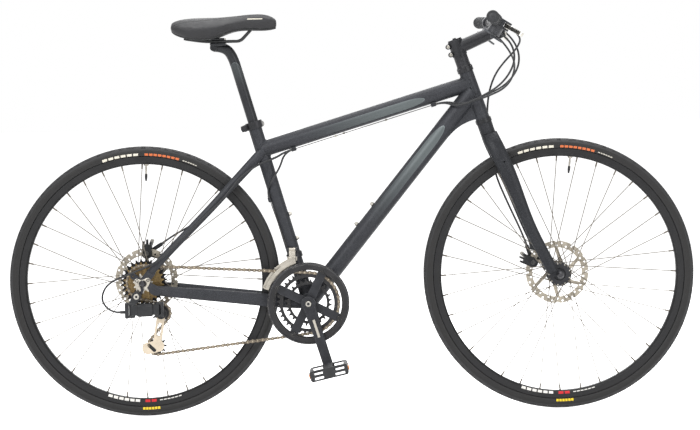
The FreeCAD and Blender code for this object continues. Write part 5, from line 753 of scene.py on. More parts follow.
def cad_shape(name, merge=MERGE):
    """Copy of a CAD node's mesh, merged and in its place."""
    shape = bmesh.new()
    shape.from_mesh(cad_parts[name].data)
    shape.transform(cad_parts[name].matrix_world)
    bmesh.ops.remove_doubles(shape, verts=shape.verts, dist=merge)
    return shape


def solids_in(shape):
    """Lists of the corners of each separate solid in a shape."""
    waiting = set(shape.verts)
    solids = []
    for first in shape.verts:
        if first not in waiting:
            continue
        waiting.remove(first)
        solid = [first]
        for vert in solid:
            for edge in vert.link_edges:
                other = edge.other_vert(vert)
                if other in waiting:
                    waiting.remove(other)
                    solid.append(other)
        solids.append(solid)
    return solids


def apply_modifier(item, kind, **settings):
    """Gives an object a modifier, and makes the result its own mesh."""
    modifier = item.modifiers.new(kind.lower(), kind)
    for key, value in settings.items():
        setattr(modifier, key, value)
    bpy.context.view_layer.objects.active = item
    bpy.ops.object.modifier_apply(modifier=modifier.name)


def mitred(mesh, line, radius):
    """Mesh with a round bore along a line cut from it."""
    start, end = line
    length = (end - start).length
    bore = bmesh.new()
    turned(bore, [(0.0, 0.0), (radius, 0.0), (radius, length), (0.0, length)], start, end - start, steps=64)
    cutter = in_scene("bore", as_mesh(bore, "bore"))
    blank = in_scene("blank", mesh)
    apply_modifier(blank, "BOOLEAN", operation="DIFFERENCE", object=cutter)
    for item in (cutter, blank):
        bpy.data.objects.remove(item)
    return mesh


stays = cad_shape("rear_stays")
for solid in solids_in(stays):
    heights = [vert.co.z for vert in solid]
    if max(heights) - min(heights) > STAY_RISE:
        bmesh.ops.delete(stays, geom=solid, context="VERTS")
half_heights = [half_height for spot, half_height in SEATSTAY_LINE]
for side in (-1, 1):
    route = [(x, side * y * STAY_OVAL, z) for (x, y, z), half_height in SEATSTAY_LINE]
    seatstay = tube_mesh(route, 1.0, half_heights)
    seatstay.transform(Matrix.Diagonal((1, 1 / STAY_OVAL, 1, 1)))
    stays.from_mesh(mitred(seatstay, SEAT_TUBE, SEAT_TUBE_WALL))
shape_piece("stay_tubes", stays, frame_paint, "frame", "rear_stays")

# Weld beads: rows of overlapping drops of aluminium where the tubes meet, laid by hand with a filler
# rod and sprayed with the frame.
BEAD_RADIUS = 0.0021
BEAD_POINTS = 260


def weld_bead(name, tube, radius, host, host_radius):
    """Bead along the line where a tube's wall meets a host tube's wall."""
    start, end = tube
    along = (end - start).normalized()
    side = Vector((0, 1, 0))
    upward = along.cross(side)
    host_start, host_end = host
    host_along = (host_end - host_start).normalized()
    run = along - host_along * along.dot(host_along)
    curve, spline = round_curve(BEAD_RADIUS, 2, "POLY", BEAD_POINTS)
    spline.use_cyclic_u = True
    for index, point in enumerate(spline.points):
        angle = 2 * math.pi * index / BEAD_POINTS
        wall = end + side * (radius * math.cos(angle)) + upward * (radius * math.sin(angle))
        out = wall - host_start
        out -= host_along * out.dot(host_along)
        middle = out.dot(run) / run.dot(run)
        spare = middle ** 2 - (out.dot(out) - host_radius ** 2) / run.dot(run)
        back = middle + math.sqrt(max(spare, 0.0))
        point.co = (*(wall - along * back), 1.0)
        point.radius = 0.85 + 0.3 * abs(math.sin(BEAD_POINTS / 4 * angle / 2))
    return new_piece(name, curve_mesh(curve), frame_paint, "frame")


HEAD_TUBE = (Vector((0.3396, 0, 0.7387)), Vector((0.2990, 0, 0.8580)))
SHELL = (Vector((-0.1102, -0.034, 0.2840)), Vector((-0.1102, 0.034, 0.2840)))
weld_bead("weld_top_head", TOP_TUBE, 0.0195, HEAD_TUBE, 0.018)
weld_bead("weld_down_head", DOWN_TUBE, 0.0222, HEAD_TUBE, 0.018)
weld_bead("weld_top_seat", (TOP_TUBE[1], TOP_TUBE[0]), 0.0196, SEAT_TUBE, 0.017)
weld_bead("weld_down_shell", (DOWN_TUBE[1], DOWN_TUBE[0]), 0.0224, SHELL, 0.021)
weld_bead("weld_seat_shell", (SEAT_TUBE[1], SEAT_TUBE[0]), 0.0168, SHELL, 0.021)

# Dropouts: flat aluminium plates cut to shape, welded to the ends of the stays and sprayed with the
# frame. The right one carries the rear derailleur's hanger.
dress(charcoal("dropout_charcoal"), "dropouts")

# Headset, stem, handlebar and seat clamp: black anodised aluminium. The stem grips the steerer and
# the bar by bright socket screws, which stand in rounded lugs.
satin_black = finish("satin_black_alloy", "1c1d1f", "29292c", (0.36, 0.48), metallic=0.4, soften=0.0009,
                     edge_wear_and_glint="4d4d50")
dress(satin_black, "headset", "stem", "handlebar", "seat_clamp")
bright_screw = finish("bright_screw", "8e8b84", "b4b1a9", (0.22, 0.36), metallic=1.0, soften=0.0002)


def barrel(radius, low, high, inset=0.001, edge=0.001):
    """Outline of a solid barrel with bevelled rims."""
    lower = [(0.0, low), (radius - inset, low), (radius, low + edge)]
    return lower + [(radius, high - edge), (radius - inset, high), (0.0, high)]


def socket_screw(socket, head, floor, face, foot, inset=0.001, edge=0.001):
    """Outline of a screw's head: the radii of socket and head, then the heights of the socket's floor,
    the head's face and its foot, and the bevel round the face."""
    hole = [(0.0, floor), (socket, floor), (socket, face)]
    return hole + [(head - inset, face), (head, face - edge), (head, foot), (0.0, foot)]


SCREW = socket_screw(0.0021, 0.0042, -0.0030, 0.0, -0.0050, inset=0.0009, edge=0.0007)
STEER_UP = (HEAD_TUBE[1] - HEAD_TUBE[0]).normalized()
STEER_FORE = Vector((STEER_UP.z, 0, -STEER_UP.x))
STEM_MIDDLE = Vector((0.2786, 0, 0.9180))
BAR_CENTRE = Vector((0.3779, 0, 0.9603))
STEM_AXIS = (BAR_CENTRE - STEM_MIDDLE).normalized()
STEM_UP = Vector((-STEM_AXIS.z, 0, STEM_AXIS.x))
STEERER_LUG = barrel(0.0065, -0.011, 0.011)
STEERER_LUG_BACK = 0.0215
STEERER_LUG_RISE = 0.0105
STEERER_SCREW_SIDE = 0.0152
BAR_LUG = barrel(0.0058, -0.013, 0.0085, inset=0.0008)
BAR_LUG_AHEAD = 0.0065
BAR_LUG_RISE = 0.0165
BAR_LUG_SIDE = 0.015
BAR_SCREW_AHEAD = 0.0125
lugs = bmesh.new()
screw_places = []
for rise in (-STEERER_LUG_RISE, STEERER_LUG_RISE):
    lug = STEM_MIDDLE - STEER_FORE * STEERER_LUG_BACK + STEER_UP * rise
    turned(lugs, STEERER_LUG, lug, (0, 1, 0))
    screw_places.append((lug - Vector((0, STEERER_SCREW_SIDE, 0)), (0, -1, 0)))
for side in (-BAR_LUG_SIDE, BAR_LUG_SIDE):
    for rise in (-BAR_LUG_RISE, BAR_LUG_RISE):
        face = BAR_CENTRE + STEM_AXIS * BAR_LUG_AHEAD + STEM_UP * rise + Vector((0, side, 0))
        turned(lugs, BAR_LUG, face, STEM_AXIS)
        screw_places.append((face + STEM_AXIS * BAR_SCREW_AHEAD, STEM_AXIS))
shape_piece("stem_lugs", lugs, satin_black, "fork")
turned_piece("stem_screws", SCREW, screw_places, bright_screw, "fork", socket=True)

# Grips: soft black rubber sleeves, moulded with close ribs between two collars, with a plug
# pressed into each end of the bar.
GRIP_LENGTH = 0.125
GRIP_RADIUS = 0.0155
GRIP_CORE = 0.0143
RIB_RADIUS = GRIP_RADIUS - 0.0004
RIB_PITCH = 0.0042
FIRST_RIB = 0.0115
LAST_RIB = GRIP_LENGTH - 0.016
GRIP_START = (0.3654, 0.1759, 0.9843)
GRIP_WAY = (-0.1158, 0.9929, 0.0276)
PLUG = [
    (0.0092, 0.0016), (0.0092, 0.0025), (0.0080, 0.0032), (0.0028, 0.0034), (0.0018, 0.0026),
    (0.0, 0.0020),
]
grip_rubber = finish("grip_rubber", "1f2022", "2c2d2f", (0.6, 0.78), scale=1600.0, relief=6e-5, soften=0.0005)
plug_plastic = finish("plug_plastic", "232427", "303134", (0.45, 0.6), scale=1500.0, relief=4e-5)
sleeve = [
    (0.0112, 0.0), (GRIP_RADIUS - 0.001, 0.0), (GRIP_RADIUS, 0.001), (GRIP_RADIUS, 0.009),
    (GRIP_CORE, 0.0105),
]
along = FIRST_RIB
while along < LAST_RIB:
    sleeve += [(GRIP_CORE, along), (RIB_RADIUS, along + 0.0008)]
    sleeve += [(RIB_RADIUS, along + 0.0024), (GRIP_CORE, along + 0.0032)]
    along += RIB_PITCH
sleeve += [
    (GRIP_CORE, GRIP_LENGTH - 0.010), (GRIP_RADIUS, GRIP_LENGTH - 0.0085), (GRIP_RADIUS, GRIP_LENGTH + 0.001),
    (GRIP_RADIUS - 0.0015, GRIP_LENGTH + 0.0025), (0.009, GRIP_LENGTH + 0.0025),
]
plug = [(radius, GRIP_LENGTH + height) for radius, height in PLUG]
for side, name in ((-1, "right"), (1, "left")):
    place = [Vector((x, side * y, z)) for x, y, z in (GRIP_START, GRIP_WAY)]
    turned_piece("grip_sleeve_" + name, sleeve, [place], grip_rubber, "fork", "grips",
                 steps=40)
    turned_piece("grip_plug_" + name, plug, [place], plug_plastic, "fork", "grips", steps=32)

# Brake and shift units: moulded plastic pods on clamps, with knurled adjusters for the cables.
# The brake levers are polished, and the two shift levers on each side are grey plastic.
pod_plastic = finish("pod_plastic", "2a2b2e", "38393d", (0.45, 0.62), scale=1500.0, relief=5e-5,
                     soften=0.0014)
lever_plastic = finish("shift_lever_plastic", "3b3d41", "4a4c50", (0.42, 0.56), scale=1500.0, relief=5e-5,
                       soften=0.0012)
lever_alloy = finish("brake_lever_alloy", "97958f", "c4c1ba", (0.24, 0.38), metallic=1.0, soften=0.0015,
                     edge_wear_and_glint="dedbd4")
dress(pod_plastic, "control_units")
dress(lever_plastic, "thumb_lever_right", "thumb_lever_left", "release_lever_right", "release_lever_left")
dress(lever_alloy, "brake_lever_right", "brake_lever_left")

# Brake calipers: cast aluminium halves, black, with a bright cable arm on each. Cooling fins stand on
# the bridge, a socket screw sets the inner pad, and a web joins the front one to the fork leg.
caliper_black = finish("caliper_black", "1b1c1e", "2a2b2d", (0.4, 0.55), metallic=0.4, scale=800.0,
                       relief=4e-5, soften=0.0012, edge_wear_and_glint="5b5a58")
arm_alloy = finish("caliper_arm_alloy", "8d8b86", "b4b1aa", (0.26, 0.4), metallic=1.0, soften=0.0008,
                   edge_wear_and_glint="d3d0c9")
dress(caliper_black, "front_caliper", "rear_caliper")
dress(arm_alloy, "front_caliper_arm", "rear_caliper_arm")
CALIPER_REACH = 0.067
CALIPERS = {"front": (157.0, 0.0395, "fork"), "rear": (88.0, 0.0522, "frame")}
FIN_ROOT = 0.0865
FIN_SIZE = (0.022, 0.0048)
FIN_EDGE = 0.0018
FIN_SHIFT = Vector((0, 0.0025, 0))
FINS = [(-0.0098, 0.012), (0.0, 0.017), (0.0098, 0.012)]
FRONT_WEB = [(0.4530, 0.4620), (0.4535, 0.4240), (0.4580, 0.4020), (0.4800, 0.3920), (0.4860, 0.4100)]
WEB_FACES = (0.0472, 0.0538)
PAD_SCREW_SHIFT = Vector((0, -0.0115, 0))
PAD_SCREW = socket_screw(0.0026, 0.0064, 0.0022, 0.0040, -0.0010, inset=0.0008, edge=0.0008)


def round_edges(part, offset, segments):
    """Rounds all the edges of a part."""
    bmesh.ops.bevel(part, geom=part.edges[:], offset=offset, segments=segments, profile=0.5,
                    affect="EDGES", material=-1)


def rounded_box(shape, middle, size, radius, turn=None):
    """Adds a box with rounded edges, turned by a matrix about its middle."""
    part = bmesh.new()
    bmesh.ops.create_cube(part, size=1.0)
    bmesh.ops.scale(part, vec=size, verts=part.verts)
    round_edges(part, radius, 4)
    put_in(shape, part, Matrix.Translation(middle) @ (turn or Matrix()))


def plate(shape, outline, low, high, bevel=0.0007):
    """Adds a flat plate: (x, z) corners seen from the side, from one distance across the bike to another."""
    part = bmesh.new()
    face = part.faces.new([part.verts.new((x, low, z)) for x, z in outline])
    grown = bmesh.ops.extrude_face_region(part, geom=[face])["geom"]
    far = [item for item in grown if isinstance(item, bmesh.types.BMVert)]
    bmesh.ops.translate(part, vec=(0, high - low, 0), verts=far)
    bmesh.ops.recalc_face_normals(part, faces=part.faces)
    round_edges(part, bevel, 2)
    put_in(shape, part, Matrix())


for wheel, (angle, side, body) in CALIPERS.items():
    centre = Vector((wheel_centres[wheel].x, side, wheel_centres[wheel].z))
    outward = ray(angle)
    across = Vector((-outward.z, 0, outward.x))
    fin_turn = Matrix.Rotation(-math.radians(angle), 4, "Y")
    fins = bmesh.new()
    for shift, length in FINS:
        middle = centre + outward * (FIN_ROOT + length / 2) + across * shift + FIN_SHIFT
        rounded_box(fins, middle, (length, *FIN_SIZE), FIN_EDGE, fin_turn)
    if wheel == "front":
        plate(fins, FRONT_WEB, *WEB_FACES)
    shape_piece(wheel + "_caliper_fins", fins, caliper_black, body)
    pad = centre + outward * CALIPER_REACH + PAD_SCREW_SHIFT
    turned_piece(wheel + "_pad_screw", PAD_SCREW, [(pad, (0, -1, 0))], crimp, body,
                 socket=True)

# Chain: riveted steel links, bronzed and lightly oiled. Each plate is waisted between its two eyes,
# dark rollers turn between the inner plates, and bright rivets close the outer ones.
HALF_PITCH = 0.00635
EYE_RADIUS = 0.0042
WAIST = 0.0024
INNER_LINK_WIDTH = 0.0055
INNER_FACE = 0.0012
OUTER_FACE = 0.0023
PLATE_THICKNESS = 0.0010
PLATE_EDGE = 0.0002
ROLLER = [(0.0, -0.0012), (0.0038, -0.0012), (0.0038, 0.0012), (0.0, 0.0012)]
RIVET = barrel(0.0019, -0.0036, 0.0036, inset=0.0004, edge=0.0004)
chain_steel = finish("chain_bronze", "4e473e", "7b7164", (0.3, 0.46), metallic=0.8, scale=900.0,
                     soften=0.0002, edge_wear_and_glint="a89a84")
roller_steel = finish("chain_rollers", "1f1c19", "33302b", (0.25, 0.4), metallic=0.8, scale=700.0)
rivet_steel = finish("chain_rivets", "8d8474", "b0a793", (0.25, 0.38), metallic=1.0, scale=700.0)
dress(chain_steel, "chain")
eye = [(HALF_PITCH + EYE_RADIUS * math.cos(math.radians(turn)), EYE_RADIUS * math.sin(math.radians(turn)))
       for turn in range(-120, 121, 30)]
link_outline = eye + [(0.0, WAIST)] + [(-x, -z) for x, z in eye] + [(0.0, -WAIST)]
source = cad_shape("chain")
plates = bmesh.new()
roller_places = []
rivet_places = []
for link in solids_in(source):
    low = Vector([min(vert.co[axis] for vert in link) for axis in range(3)])
    high = Vector([max(vert.co[axis] for vert in link) for axis in range(3)])
    middle = (low + high) / 2
    size = high - low
    rising = math.copysign(1, sum((vert.co.x - middle.x) * (vert.co.z - middle.z) for vert in link))
    lean = math.atan2(rising * max(size.z - 2 * EYE_RADIUS, 0.0), max(size.x - 2 * EYE_RADIUS, 0.0))
    turn = Matrix.Translation(middle) @ Matrix.Rotation(-lean, 4, "Y")
    inner = size.y < INNER_LINK_WIDTH
    for side in (-1, 1):
        face = side * (INNER_FACE if inner else OUTER_FACE)
        one_plate = bmesh.new()
        plate(one_plate, link_outline, face, face + side * PLATE_THICKNESS, PLATE_EDGE)
        put_in(plates, one_plate, turn)
        pins = roller_places if inner else rivet_places
        pins.append((turn @ Vector((side * HALF_PITCH, 0, 0)), (0, 1, 0)))
source.free()
shape_piece("chain_plates", plates, chain_steel, "frame", "chain")
turned_piece("chain_rollers", ROLLER, roller_places, roller_steel, "frame", "chain", steps=14)
turned_piece("chain_rivets", RIVET, rivet_places, rivet_steel, "frame", "chain", steps=10)

# Cassette: eight stamped steel sprockets, bronzed, on the freehub's splines. The largest is black with a
# thin red line, and the lock ring that holds them is bright.
LARGEST_COG = (-0.0289, -0.0285)
LOCK_RING = (-0.0608, -0.0612)
RED_LINE = (0.0440, 0.0007, 180.0, 60.0, 1.0, "8c3128")
cog_bronze = finish("cog_bronze", "5d4c34", "8b774f", (0.32, 0.48), metallic=0.85, scale=500.0, soften=0.0003,
                    edge_wear_and_glint="b7a888")
turning_marks(cog_bronze, wheel_centres["rear"], 0.0004, "4a3d2b", 0.35)
tree = cog_bronze.node_tree
side = spot_on(tree)["Y"]
paint_over(cog_bronze, ramp(tree, side, *LARGEST_COG), "1f1f20", 0.45)
paint_over(cog_bronze, ramp(tree, side, *LOCK_RING), "b5b1a8", 0.3)
arc_bars(cog_bronze, wheel_centres["rear"], *RED_LINE)
dress(cog_bronze, "cassette")

# Chainset: three toothed steel rings, blacked, behind a black guard. The forged arms are black too, and
# are bolted to the ends of the spindle.
CRANK_AXIS = Vector((-0.1102, 0, 0.2840))
GUARD_BAR = (0.0985, 0.0014, 95.0, 24.0, 1.0, "86837c")
ring_black = finish("ring_black", "1b1b1d", "2a2a2c", (0.3, 0.45), metallic=0.5, soften=0.0006, edge_wear_and_glint="8a867d")
turning_marks(ring_black, CRANK_AXIS, 0.0005, "3c3b3a", 0.4)
arc_bars(ring_black, CRANK_AXIS, *GUARD_BAR)
crank_black = finish("crank_black", "202124", "2c2d31", (0.34, 0.46), metallic=0.4, soften=0.0015,
                     edge_wear_and_glint="57575a")
dress(ring_black, "chainrings")
dress(crank_black, "crank_arms")

# Chainset fittings: a rolled lip round the guard, its edges painted with near-white glints, black screws
# that hold it, and a bright cap bolt at each end of the spindle. A plain pale bar lies along the right arm.
LIP = [
    (0.0975, -0.0020), (0.1012, -0.0024), (0.1036, -0.0008), (0.1036, 0.0012), (0.1020, 0.0024),
    (0.0975, 0.0020),
]
GUARD_SCREW_ANGLES = (64.5, 153.0, 243.0, 333.0)
GUARD_SCREW_RADIUS = 0.0895
GUARD_FACE = -0.0622
LIP_MIDDLE = -0.0601
CAP_FACE = 0.0776
BAR_MIDDLE = 0.065
BAR_HALF_LENGTH = 0.023
BAR_HALF_WIDTH = 0.0030
BAR_FACE = -0.02
CAP_BOLT = socket_screw(0.0036, 0.0076, -0.0025, 0.0008, -0.0030, edge=0.0012)
CRANK_DOWN = Vector((0.2924, 0, -0.9563))
# The lip's edge tone, c9c6be, is a painted glint: near-white highlights laid on its rounded edges, not wear.
lip_black_painted_glint = finish("lip_black_painted_glint", "2a2a2c", "3a3a3c", (0.14, 0.24), metallic=0.7, scale=300.0, edge_wear_and_glint="c9c6be")
lip_place = (CRANK_AXIS + Vector((0, LIP_MIDDLE, 0)), (0, 1, 0))
turned_piece("guard_lip", LIP, [lip_place], lip_black_painted_glint, "crankset", steps=96)
screw_circle = CRANK_AXIS + Vector((0, GUARD_FACE, 0))
places = [(screw_circle + ray(angle) * GUARD_SCREW_RADIUS, (0, -1, 0)) for angle in GUARD_SCREW_ANGLES]
turned_piece("guard_screws", SCREW, places, ring_black, "crankset", socket=True)
places = [(CRANK_AXIS + Vector((0, side * CAP_FACE, 0)), (0, side, 0)) for side in (-1, 1)]
turned_piece("crank_bolts", CAP_BOLT, places, bright_screw, "crankset", socket=True)
tree = crank_black.node_tree
spot = spot_along(tree, CRANK_AXIS, CRANK_DOWN)
in_length = near(tree, spot["X"], BAR_MIDDLE, BAR_HALF_LENGTH)
in_width = near(tree, spot["Z"], 0.0, BAR_HALF_WIDTH)
outside = figure(tree, "LESS_THAN", spot["Y"], BAR_FACE)
paint_over(crank_black, product(tree, in_length, in_width, outside), "a8a399", 0.45)

# Pedals: black platforms moulded round steel axles, which are screwed into the arms. An amber
# reflector is set in each end.
pedal_plastic = finish("pedal_plastic", "1b1c1d", "292a2c", (0.5, 0.66), scale=1300.0, relief=6e-5,
                       soften=0.0009, edge_wear_and_glint="3f3f41")
dress(pedal_plastic, "pedal_right", "pedal_left")
amber = finish("amber_reflector", "a4571a", "c9772b", (0.15, 0.25), scale=300.0, soften=0.0003, coat=0.6)
tree = amber.node_tree
prisms = add(tree, "TexVoronoi", {"Vector": object_place(tree), "Scale": 520.0})
paint_over(amber, ramp(tree, prisms.outputs["Distance"], 0.25, 0.6, 0.0, 0.6), "e89a4a")
LENS_SIZE = (0.004, 0.056, 0.011)
LENS_EDGE = 0.0011
LENS_REACH = 0.0489
LENS_SIDE = 0.1355
PEDALS = {"right": (Vector((-0.0605, 0, 0.1214)), -1, 12.5), "left": (Vector((-0.1599, 0, 0.4466)), 1, 106.0)}
for name, (axle, side, tilt) in PEDALS.items():
    lens = bmesh.new()
    for end in (-1, 1):
        spots = bmesh.ops.create_cube(lens, size=1.0)["verts"]
        bmesh.ops.scale(lens, vec=LENS_SIZE, verts=spots)
        bmesh.ops.translate(lens, vec=(end * LENS_REACH, side * LENS_SIDE, 0), verts=spots)
    round_edges(lens, LENS_EDGE, 2)
    swing = Matrix.Translation(axle) @ Matrix.Rotation(math.radians(-tilt), 4, "Y")
    bmesh.ops.transform(lens, matrix=swing, verts=lens.verts)
    shape_piece("pedal_reflectors_" + name, lens, amber, name + "_pedal")

# Rear derailleur: a black body and links that turn on pins, champagne cage plates stamped from sheet,
# and two black plastic pulleys between them.
derailleur_black = finish("derailleur_black", "1c1d1f", "2b2c2e", (0.32, 0.48), metallic=0.3, scale=900.0,
                          soften=0.0015, edge_wear_and_glint="5e5d5b")
champagne = finish("champagne_alloy", "a89c8a", "c0b4a2", (0.28, 0.42), metallic=0.75, soften=0.0005,
                   edge_wear_and_glint="ece4d6")
pulley_plastic = finish("pulley_plastic", "1a1b1c", "272829", (0.4, 0.55), scale=1200.0, soften=0.0004)
cage_bright = finish("cage_bright", "8d887f", "aea99f", (0.24, 0.38), metallic=0.95, soften=0.0005,
                     edge_wear_and_glint="dedad1")
dress(derailleur_black, "derailleur_mount", "derailleur_link", "derailleur_knuckle")
dress(champagne, "derailleur_cage")
dress(pulley_plastic, "guide_pulley", "tension_pulley")

# Rear derailleur covers: the moulded body over the link, a rounded cover on the mount at one end, and the
# bright hanger plate and bolt that carry it.
MOUNT_PIN = Vector((-0.5520, -0.0830, 0.2770))
KNUCKLE_PIN = Vector((-0.4900, -0.0643, 0.2770))
link_way = KNUCKLE_PIN - MOUNT_PIN
link_turn = Matrix.Rotation(math.atan2(link_way.y, link_way.x), 4, "Z")
COVERS = {
    "derailleur_body_cover": (
        (MOUNT_PIN + KNUCKLE_PIN) / 2, (0.0445, 0.0190, 0.0340), 0.0075, link_turn, "rear_derailleur_link"),
    "derailleur_mount_cover": (
        MOUNT_PIN + Vector((-0.0131, 0, 0)), (0.0095, 0.0180, 0.0400), 0.0030, None, "frame"),
}
for name, (middle, size, radius, turn, body) in COVERS.items():
    cover = bmesh.new()
    rounded_box(cover, middle, size, radius, turn)
    shape_piece(name, cover, derailleur_black, body)
AXLE = wheel_centres["rear"]
HANGER = Vector((-0.5400, 0, 0.3120))
HANGER_ARCH = [
    (-19.6, 9.6), (-16.0, 12.8), (-11.0, 12.2), (-4.0, 9.8), (4.0, 10.2), (10.0, 14.0), (16.5, 14.5),
    (20.0, 10.0), (19.5, 4.0), (14.0, -7.0), (8.5, -12.0), (6.0, -9.0), (9.0, -2.0), (7.5, 4.0),
    (0.0, 5.0), (-7.0, 3.0), (-6.0, -8.0), (-4.5, -17.0), (-9.0, -21.0), (-16.0, -18.5), (-17.5, -6.0),
    (-20.6, 3.0),
]
HANGER_FACES = (-0.0732, -0.0757)
HANGER_EDGE = 0.0005
HANGER_SCREW_FACE = -0.0768
HANGER_BOLT_FACE = -0.0926
HANGER_SCREWS = [(-0.0138, 0.0075), (0.0140, 0.0090)]
HANGER_BOLT = socket_screw(0.0030, 0.0072, -0.0018, 0.0012, -0.0030)
hanger_plate = bmesh.new()
arch = [(AXLE.x + x / 1000, AXLE.z + z / 1000) for x, z in HANGER_ARCH]
plate(hanger_plate, arch, *HANGER_FACES, HANGER_EDGE)
shape_piece("hanger_plate", hanger_plate, cage_bright, "frame")
places = [(AXLE + Vector((x, HANGER_SCREW_FACE, z)), (0, -1, 0)) for x, z in HANGER_SCREWS]
turned_piece("hanger_screws", SCREW, places, derailleur_black, "frame", socket=True)
bolt_place = (HANGER + Vector((0, HANGER_BOLT_FACE, 0)), (0, -1, 0))
turned_piece("hanger_bolt", HANGER_BOLT, [bolt_place], bright_screw, "frame", socket=True)

# Front derailleur: a bright stamped cage that carries the chain from ring to ring. It swings on a
# bright link, clamped round the seat tube.
dress(cage_bright, "front_derailleur_link", "front_derailleur_cage")

# Seatpost: black anodised tube bent back near its top, with a plain grey leaf on its side. Two
# bright bolts draw the clamp's halves together on the rails.
SEAT_UP = (SEAT_TUBE[1] - SEAT_TUBE[0]).normalized()
CRADLE = Vector((-0.3251, 0, 0.9463))
POST_RADIUS = 0.0136
POST_HEIGHTS = (0.350, 0.470, 0.590, 0.655)
POST_END = [(0.012, -0.0135), (-0.012, -0.0125)]
HEAD_BLOCKS = [(-0.0072, (0.040, 0.054, 0.0078), 0.0028), (0.0062, (0.034, 0.052, 0.0050), 0.0020)]
HEAD_BARREL = barrel(0.0095, -0.020, 0.020)
HEAD_BARREL_SHIFT = Vector((-0.011, 0, -0.0150))
POST_BOLT_SPOTS = (-0.0085, 0.0165)
POST_BOLT_FOOT = -0.0215
POST_BOLT = [
    (0.0, 0.0), (0.0044, 0.0), (0.0050, 0.0008), (0.0050, 0.0052), (0.0028, 0.0056), (0.0028, 0.030),
    (0.0, 0.030),
]
post_black = finish("post_black", "1b1c1e", "28292c", (0.34, 0.46), metallic=0.4, soften=0.0009,
                    edge_wear_and_glint="505053")
leaf(post_black, SEAT_TUBE, tip=0.634, length=0.022, half_width=0.0125, lift=0.002, fade=0.075, strength=0.3)
post_route = [SEAT_TUBE[0] + SEAT_UP * height for height in POST_HEIGHTS]
post_route += [CRADLE + Vector((x, 0, z)) for x, z in POST_END]
post = tube_mesh(post_route, POST_RADIUS)
new_piece("post_tube", post, post_black, "saddle_and_post", "seatpost")
head = bmesh.new()
for rise, size, edge in HEAD_BLOCKS:
    rounded_box(head, CRADLE + Vector((0, 0, rise)), size, edge)
turned(head, HEAD_BARREL, CRADLE + HEAD_BARREL_SHIFT, (0, 1, 0), steps=28)
shape_piece("post_head", head, post_black, "saddle_and_post", "seatpost")
places = [(CRADLE + Vector((x, 0, POST_BOLT_FOOT)), (0, 0, 1)) for x in POST_BOLT_SPOTS]
turned_piece("post_bolts", POST_BOLT, places, bright_screw, "saddle_and_post",
             "seatpost", steps=20)

# Saddle base and rails: a moulded nylon shell, with two black steel rails sprung into it. The post's
# cradle clamps the rails.
base_nylon = finish("saddle_base_nylon", "161718", "232425", (0.5, 0.62), scale=1300.0, relief=6e-5,
                    soften=0.0008)
dress(base_nylon, "saddle_frame")

# Saddle cover: foam under a thin black synthetic skin, drawn tight over the shell's edge, with a
# sewn channel down the middle and a seam along each flank. A plain pale bar lies on each side of the nose.
GROWTH_CAP = 0.003
SKIN_OVERLAP = 0.0016
VOXEL = 0.004
SWELL_PRESSURE = 4.0
SWELL_STEPS = 20
UNDERSIDE = -0.55
CHANNEL_DEPTH = 0.0022
CHANNEL_WIDTH = 0.006
CHANNEL_FROM = 0.30
CHANNEL_TO = 0.86
CHANNEL_FADE = 8
SEAM_DEPTH = 0.0014
SEAM_WIDTH = 0.0022
SEAM_FROM = 0.06
SEAM_TO = 0.97
SEAM_AT_NOSE = 0.16
SEAM_FLARE = 0.50
FLARE_AT = 0.58
FLARE_RATE = 16
UPPER_SIDE = 0.1
NOSE_LENGTH = 0.06
NOSE_BAR_BACK = 0.052
NOSE_BAR_DROP = 0.0122
NOSE_BAR_HALVES = (0.019, 0.0013)
low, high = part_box("saddle_cover")
merged = cad_shape("saddle_cover", merge=1e-5)
bmesh.ops.recalc_face_normals(merged, faces=merged.faces)
pad = in_scene("saddle_pad", as_mesh(merged, "saddle_pad"))
apply_modifier(pad, "REMESH", mode="VOXEL", voxel_size=VOXEL)
before = [vert.co.copy() for vert in pad.data.vertices]
held = pad.vertex_groups.new(name="held")
under = [vert.index for vert in pad.data.vertices if vert.normal.z < UNDERSIDE]
held.add(under, 1.0, "REPLACE")
cloth = pad.modifiers.new("swell", "CLOTH")
cloth.settings.use_pressure = True
cloth.settings.uniform_pressure_force = SWELL_PRESSURE
cloth.settings.vertex_group_mass = "held"
cloth.settings.effector_weights.gravity = 0.0
for step in range(1, SWELL_STEPS + 1):
    scene.frame_set(step)
bpy.ops.object.modifier_apply(modifier="swell")
scene.frame_set(1)
for vert, rest in zip(pad.data.vertices, before):
    shift = vert.co - rest
    if shift.length > GROWTH_CAP:
        vert.co = rest + shift.normalized() * GROWTH_CAP
apply_modifier(pad, "SUBSURF", levels=1, render_levels=1)


def groove(off, width):
    """Share of a groove's depth at a distance from its middle."""
    return math.exp(-(off / width) ** 2)


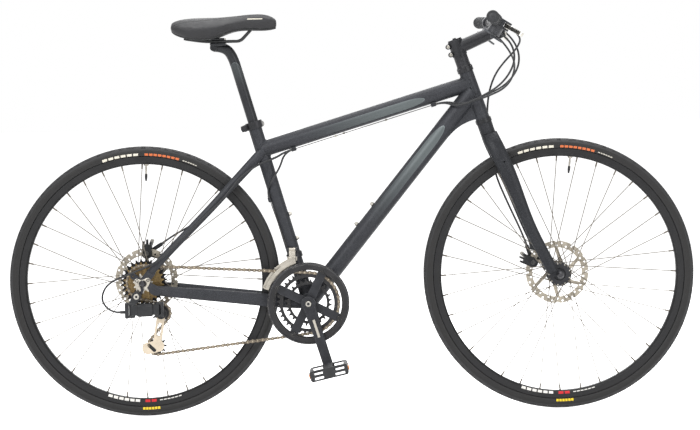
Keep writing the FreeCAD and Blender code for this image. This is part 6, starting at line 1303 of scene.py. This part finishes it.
skin = bmesh.new()
skin.from_mesh(pad.data)
bmesh.ops.smooth_vert(skin, verts=skin.verts, factor=0.5, use_axis_x=True, use_axis_y=True, use_axis_z=True)
skin.normal_update()
for vert in skin.verts:
    vert.co += vert.normal * SKIN_OVERLAP
    back = (high.x - vert.co.x) / (high.x - low.x)
    depth = 0.0
    if back < CHANNEL_TO:
        deepening = max(0.0, min(1.0, CHANNEL_FADE * (back - CHANNEL_FROM)))
        depth += CHANNEL_DEPTH * groove(vert.co.y, CHANNEL_WIDTH) * deepening
    if SEAM_FROM < back < SEAM_TO:
        flare = SEAM_FLARE / (1 + math.exp(-FLARE_RATE * (back - FLARE_AT)))
        seam_at = (high.y - low.y) / 2 * (SEAM_AT_NOSE + flare)
        depth += SEAM_DEPTH * groove(abs(vert.co.y) - seam_at, SEAM_WIDTH)
    if vert.normal.z > UPPER_SIDE:
        vert.co -= vert.normal * depth
skin.to_mesh(pad.data)
skin.free()
saddle_skin = finish("saddle_skin", "1d1d1f", "29292b", (0.5, 0.64), scale=700.0, relief=1.2e-4,
                     soften=0.0004)
tree = saddle_skin.node_tree
pores = add(tree, "TexVoronoi", {"Vector": object_place(tree), "Scale": 900.0})
paint_over(saddle_skin, ramp(tree, pores.outputs["Distance"], 0.5, 0.2, 0.0, 0.45), "141415", 0.58)
spot = spot_on(tree)
nose_top = max(vert.co.z for vert in pad.data.vertices if vert.co.x > high.x - NOSE_LENGTH)
on_nose = near(tree, spot["X"], high.x - NOSE_BAR_BACK, NOSE_BAR_HALVES[0])
on_flank = near(tree, spot["Z"], nose_top - NOSE_BAR_DROP, NOSE_BAR_HALVES[1])
paint_over(saddle_skin, product(tree, on_nose, on_flank), "c4bfb1", 0.5)
pad_mesh = pad.data
bpy.data.objects.remove(pad)
saddle = new_piece("saddle_padding", pad_mesh, saddle_skin, "saddle_and_post")
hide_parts("saddle_cover")

# Frame fittings: welded cable stops and the front derailleur's band, sprayed black, with bright
# bolts in the bottle bosses.
fitting_black = finish("fitting_black", "202124", "2d2e31", (0.36, 0.5), metallic=0.4, soften=0.0006,
                       edge_wear_and_glint="6d6c69")
dress(fitting_black, "frame_fittings")
BOSS_PITCH = 0.064
BOSS_ROWS = [(SEAT_TUBE, 1, 0.0170, 0.163), (DOWN_TUBE, -1, 0.0225, 0.230)]
BOTTLE_BOLT = socket_screw(0.0021, 0.0045, 0.0056, 0.0080, 0.0034, inset=0.0008, edge=0.0008)[:-1]
BOTTLE_BOLT += [(0.0062, 0.0030), (0.0062, 0.0014), (0.0, 0.0014)]
places = []
for (foot, top), lean, radius, first in BOSS_ROWS:
    along = (top - foot).normalized()
    out = Vector((along.z, 0, -along.x)) * lean
    places += [(foot + along * height + out * radius, out) for height in (first, first + BOSS_PITCH)]
turned_piece("bottle_bolts", BOTTLE_BOLT, places, bright_screw, "frame", socket=True)
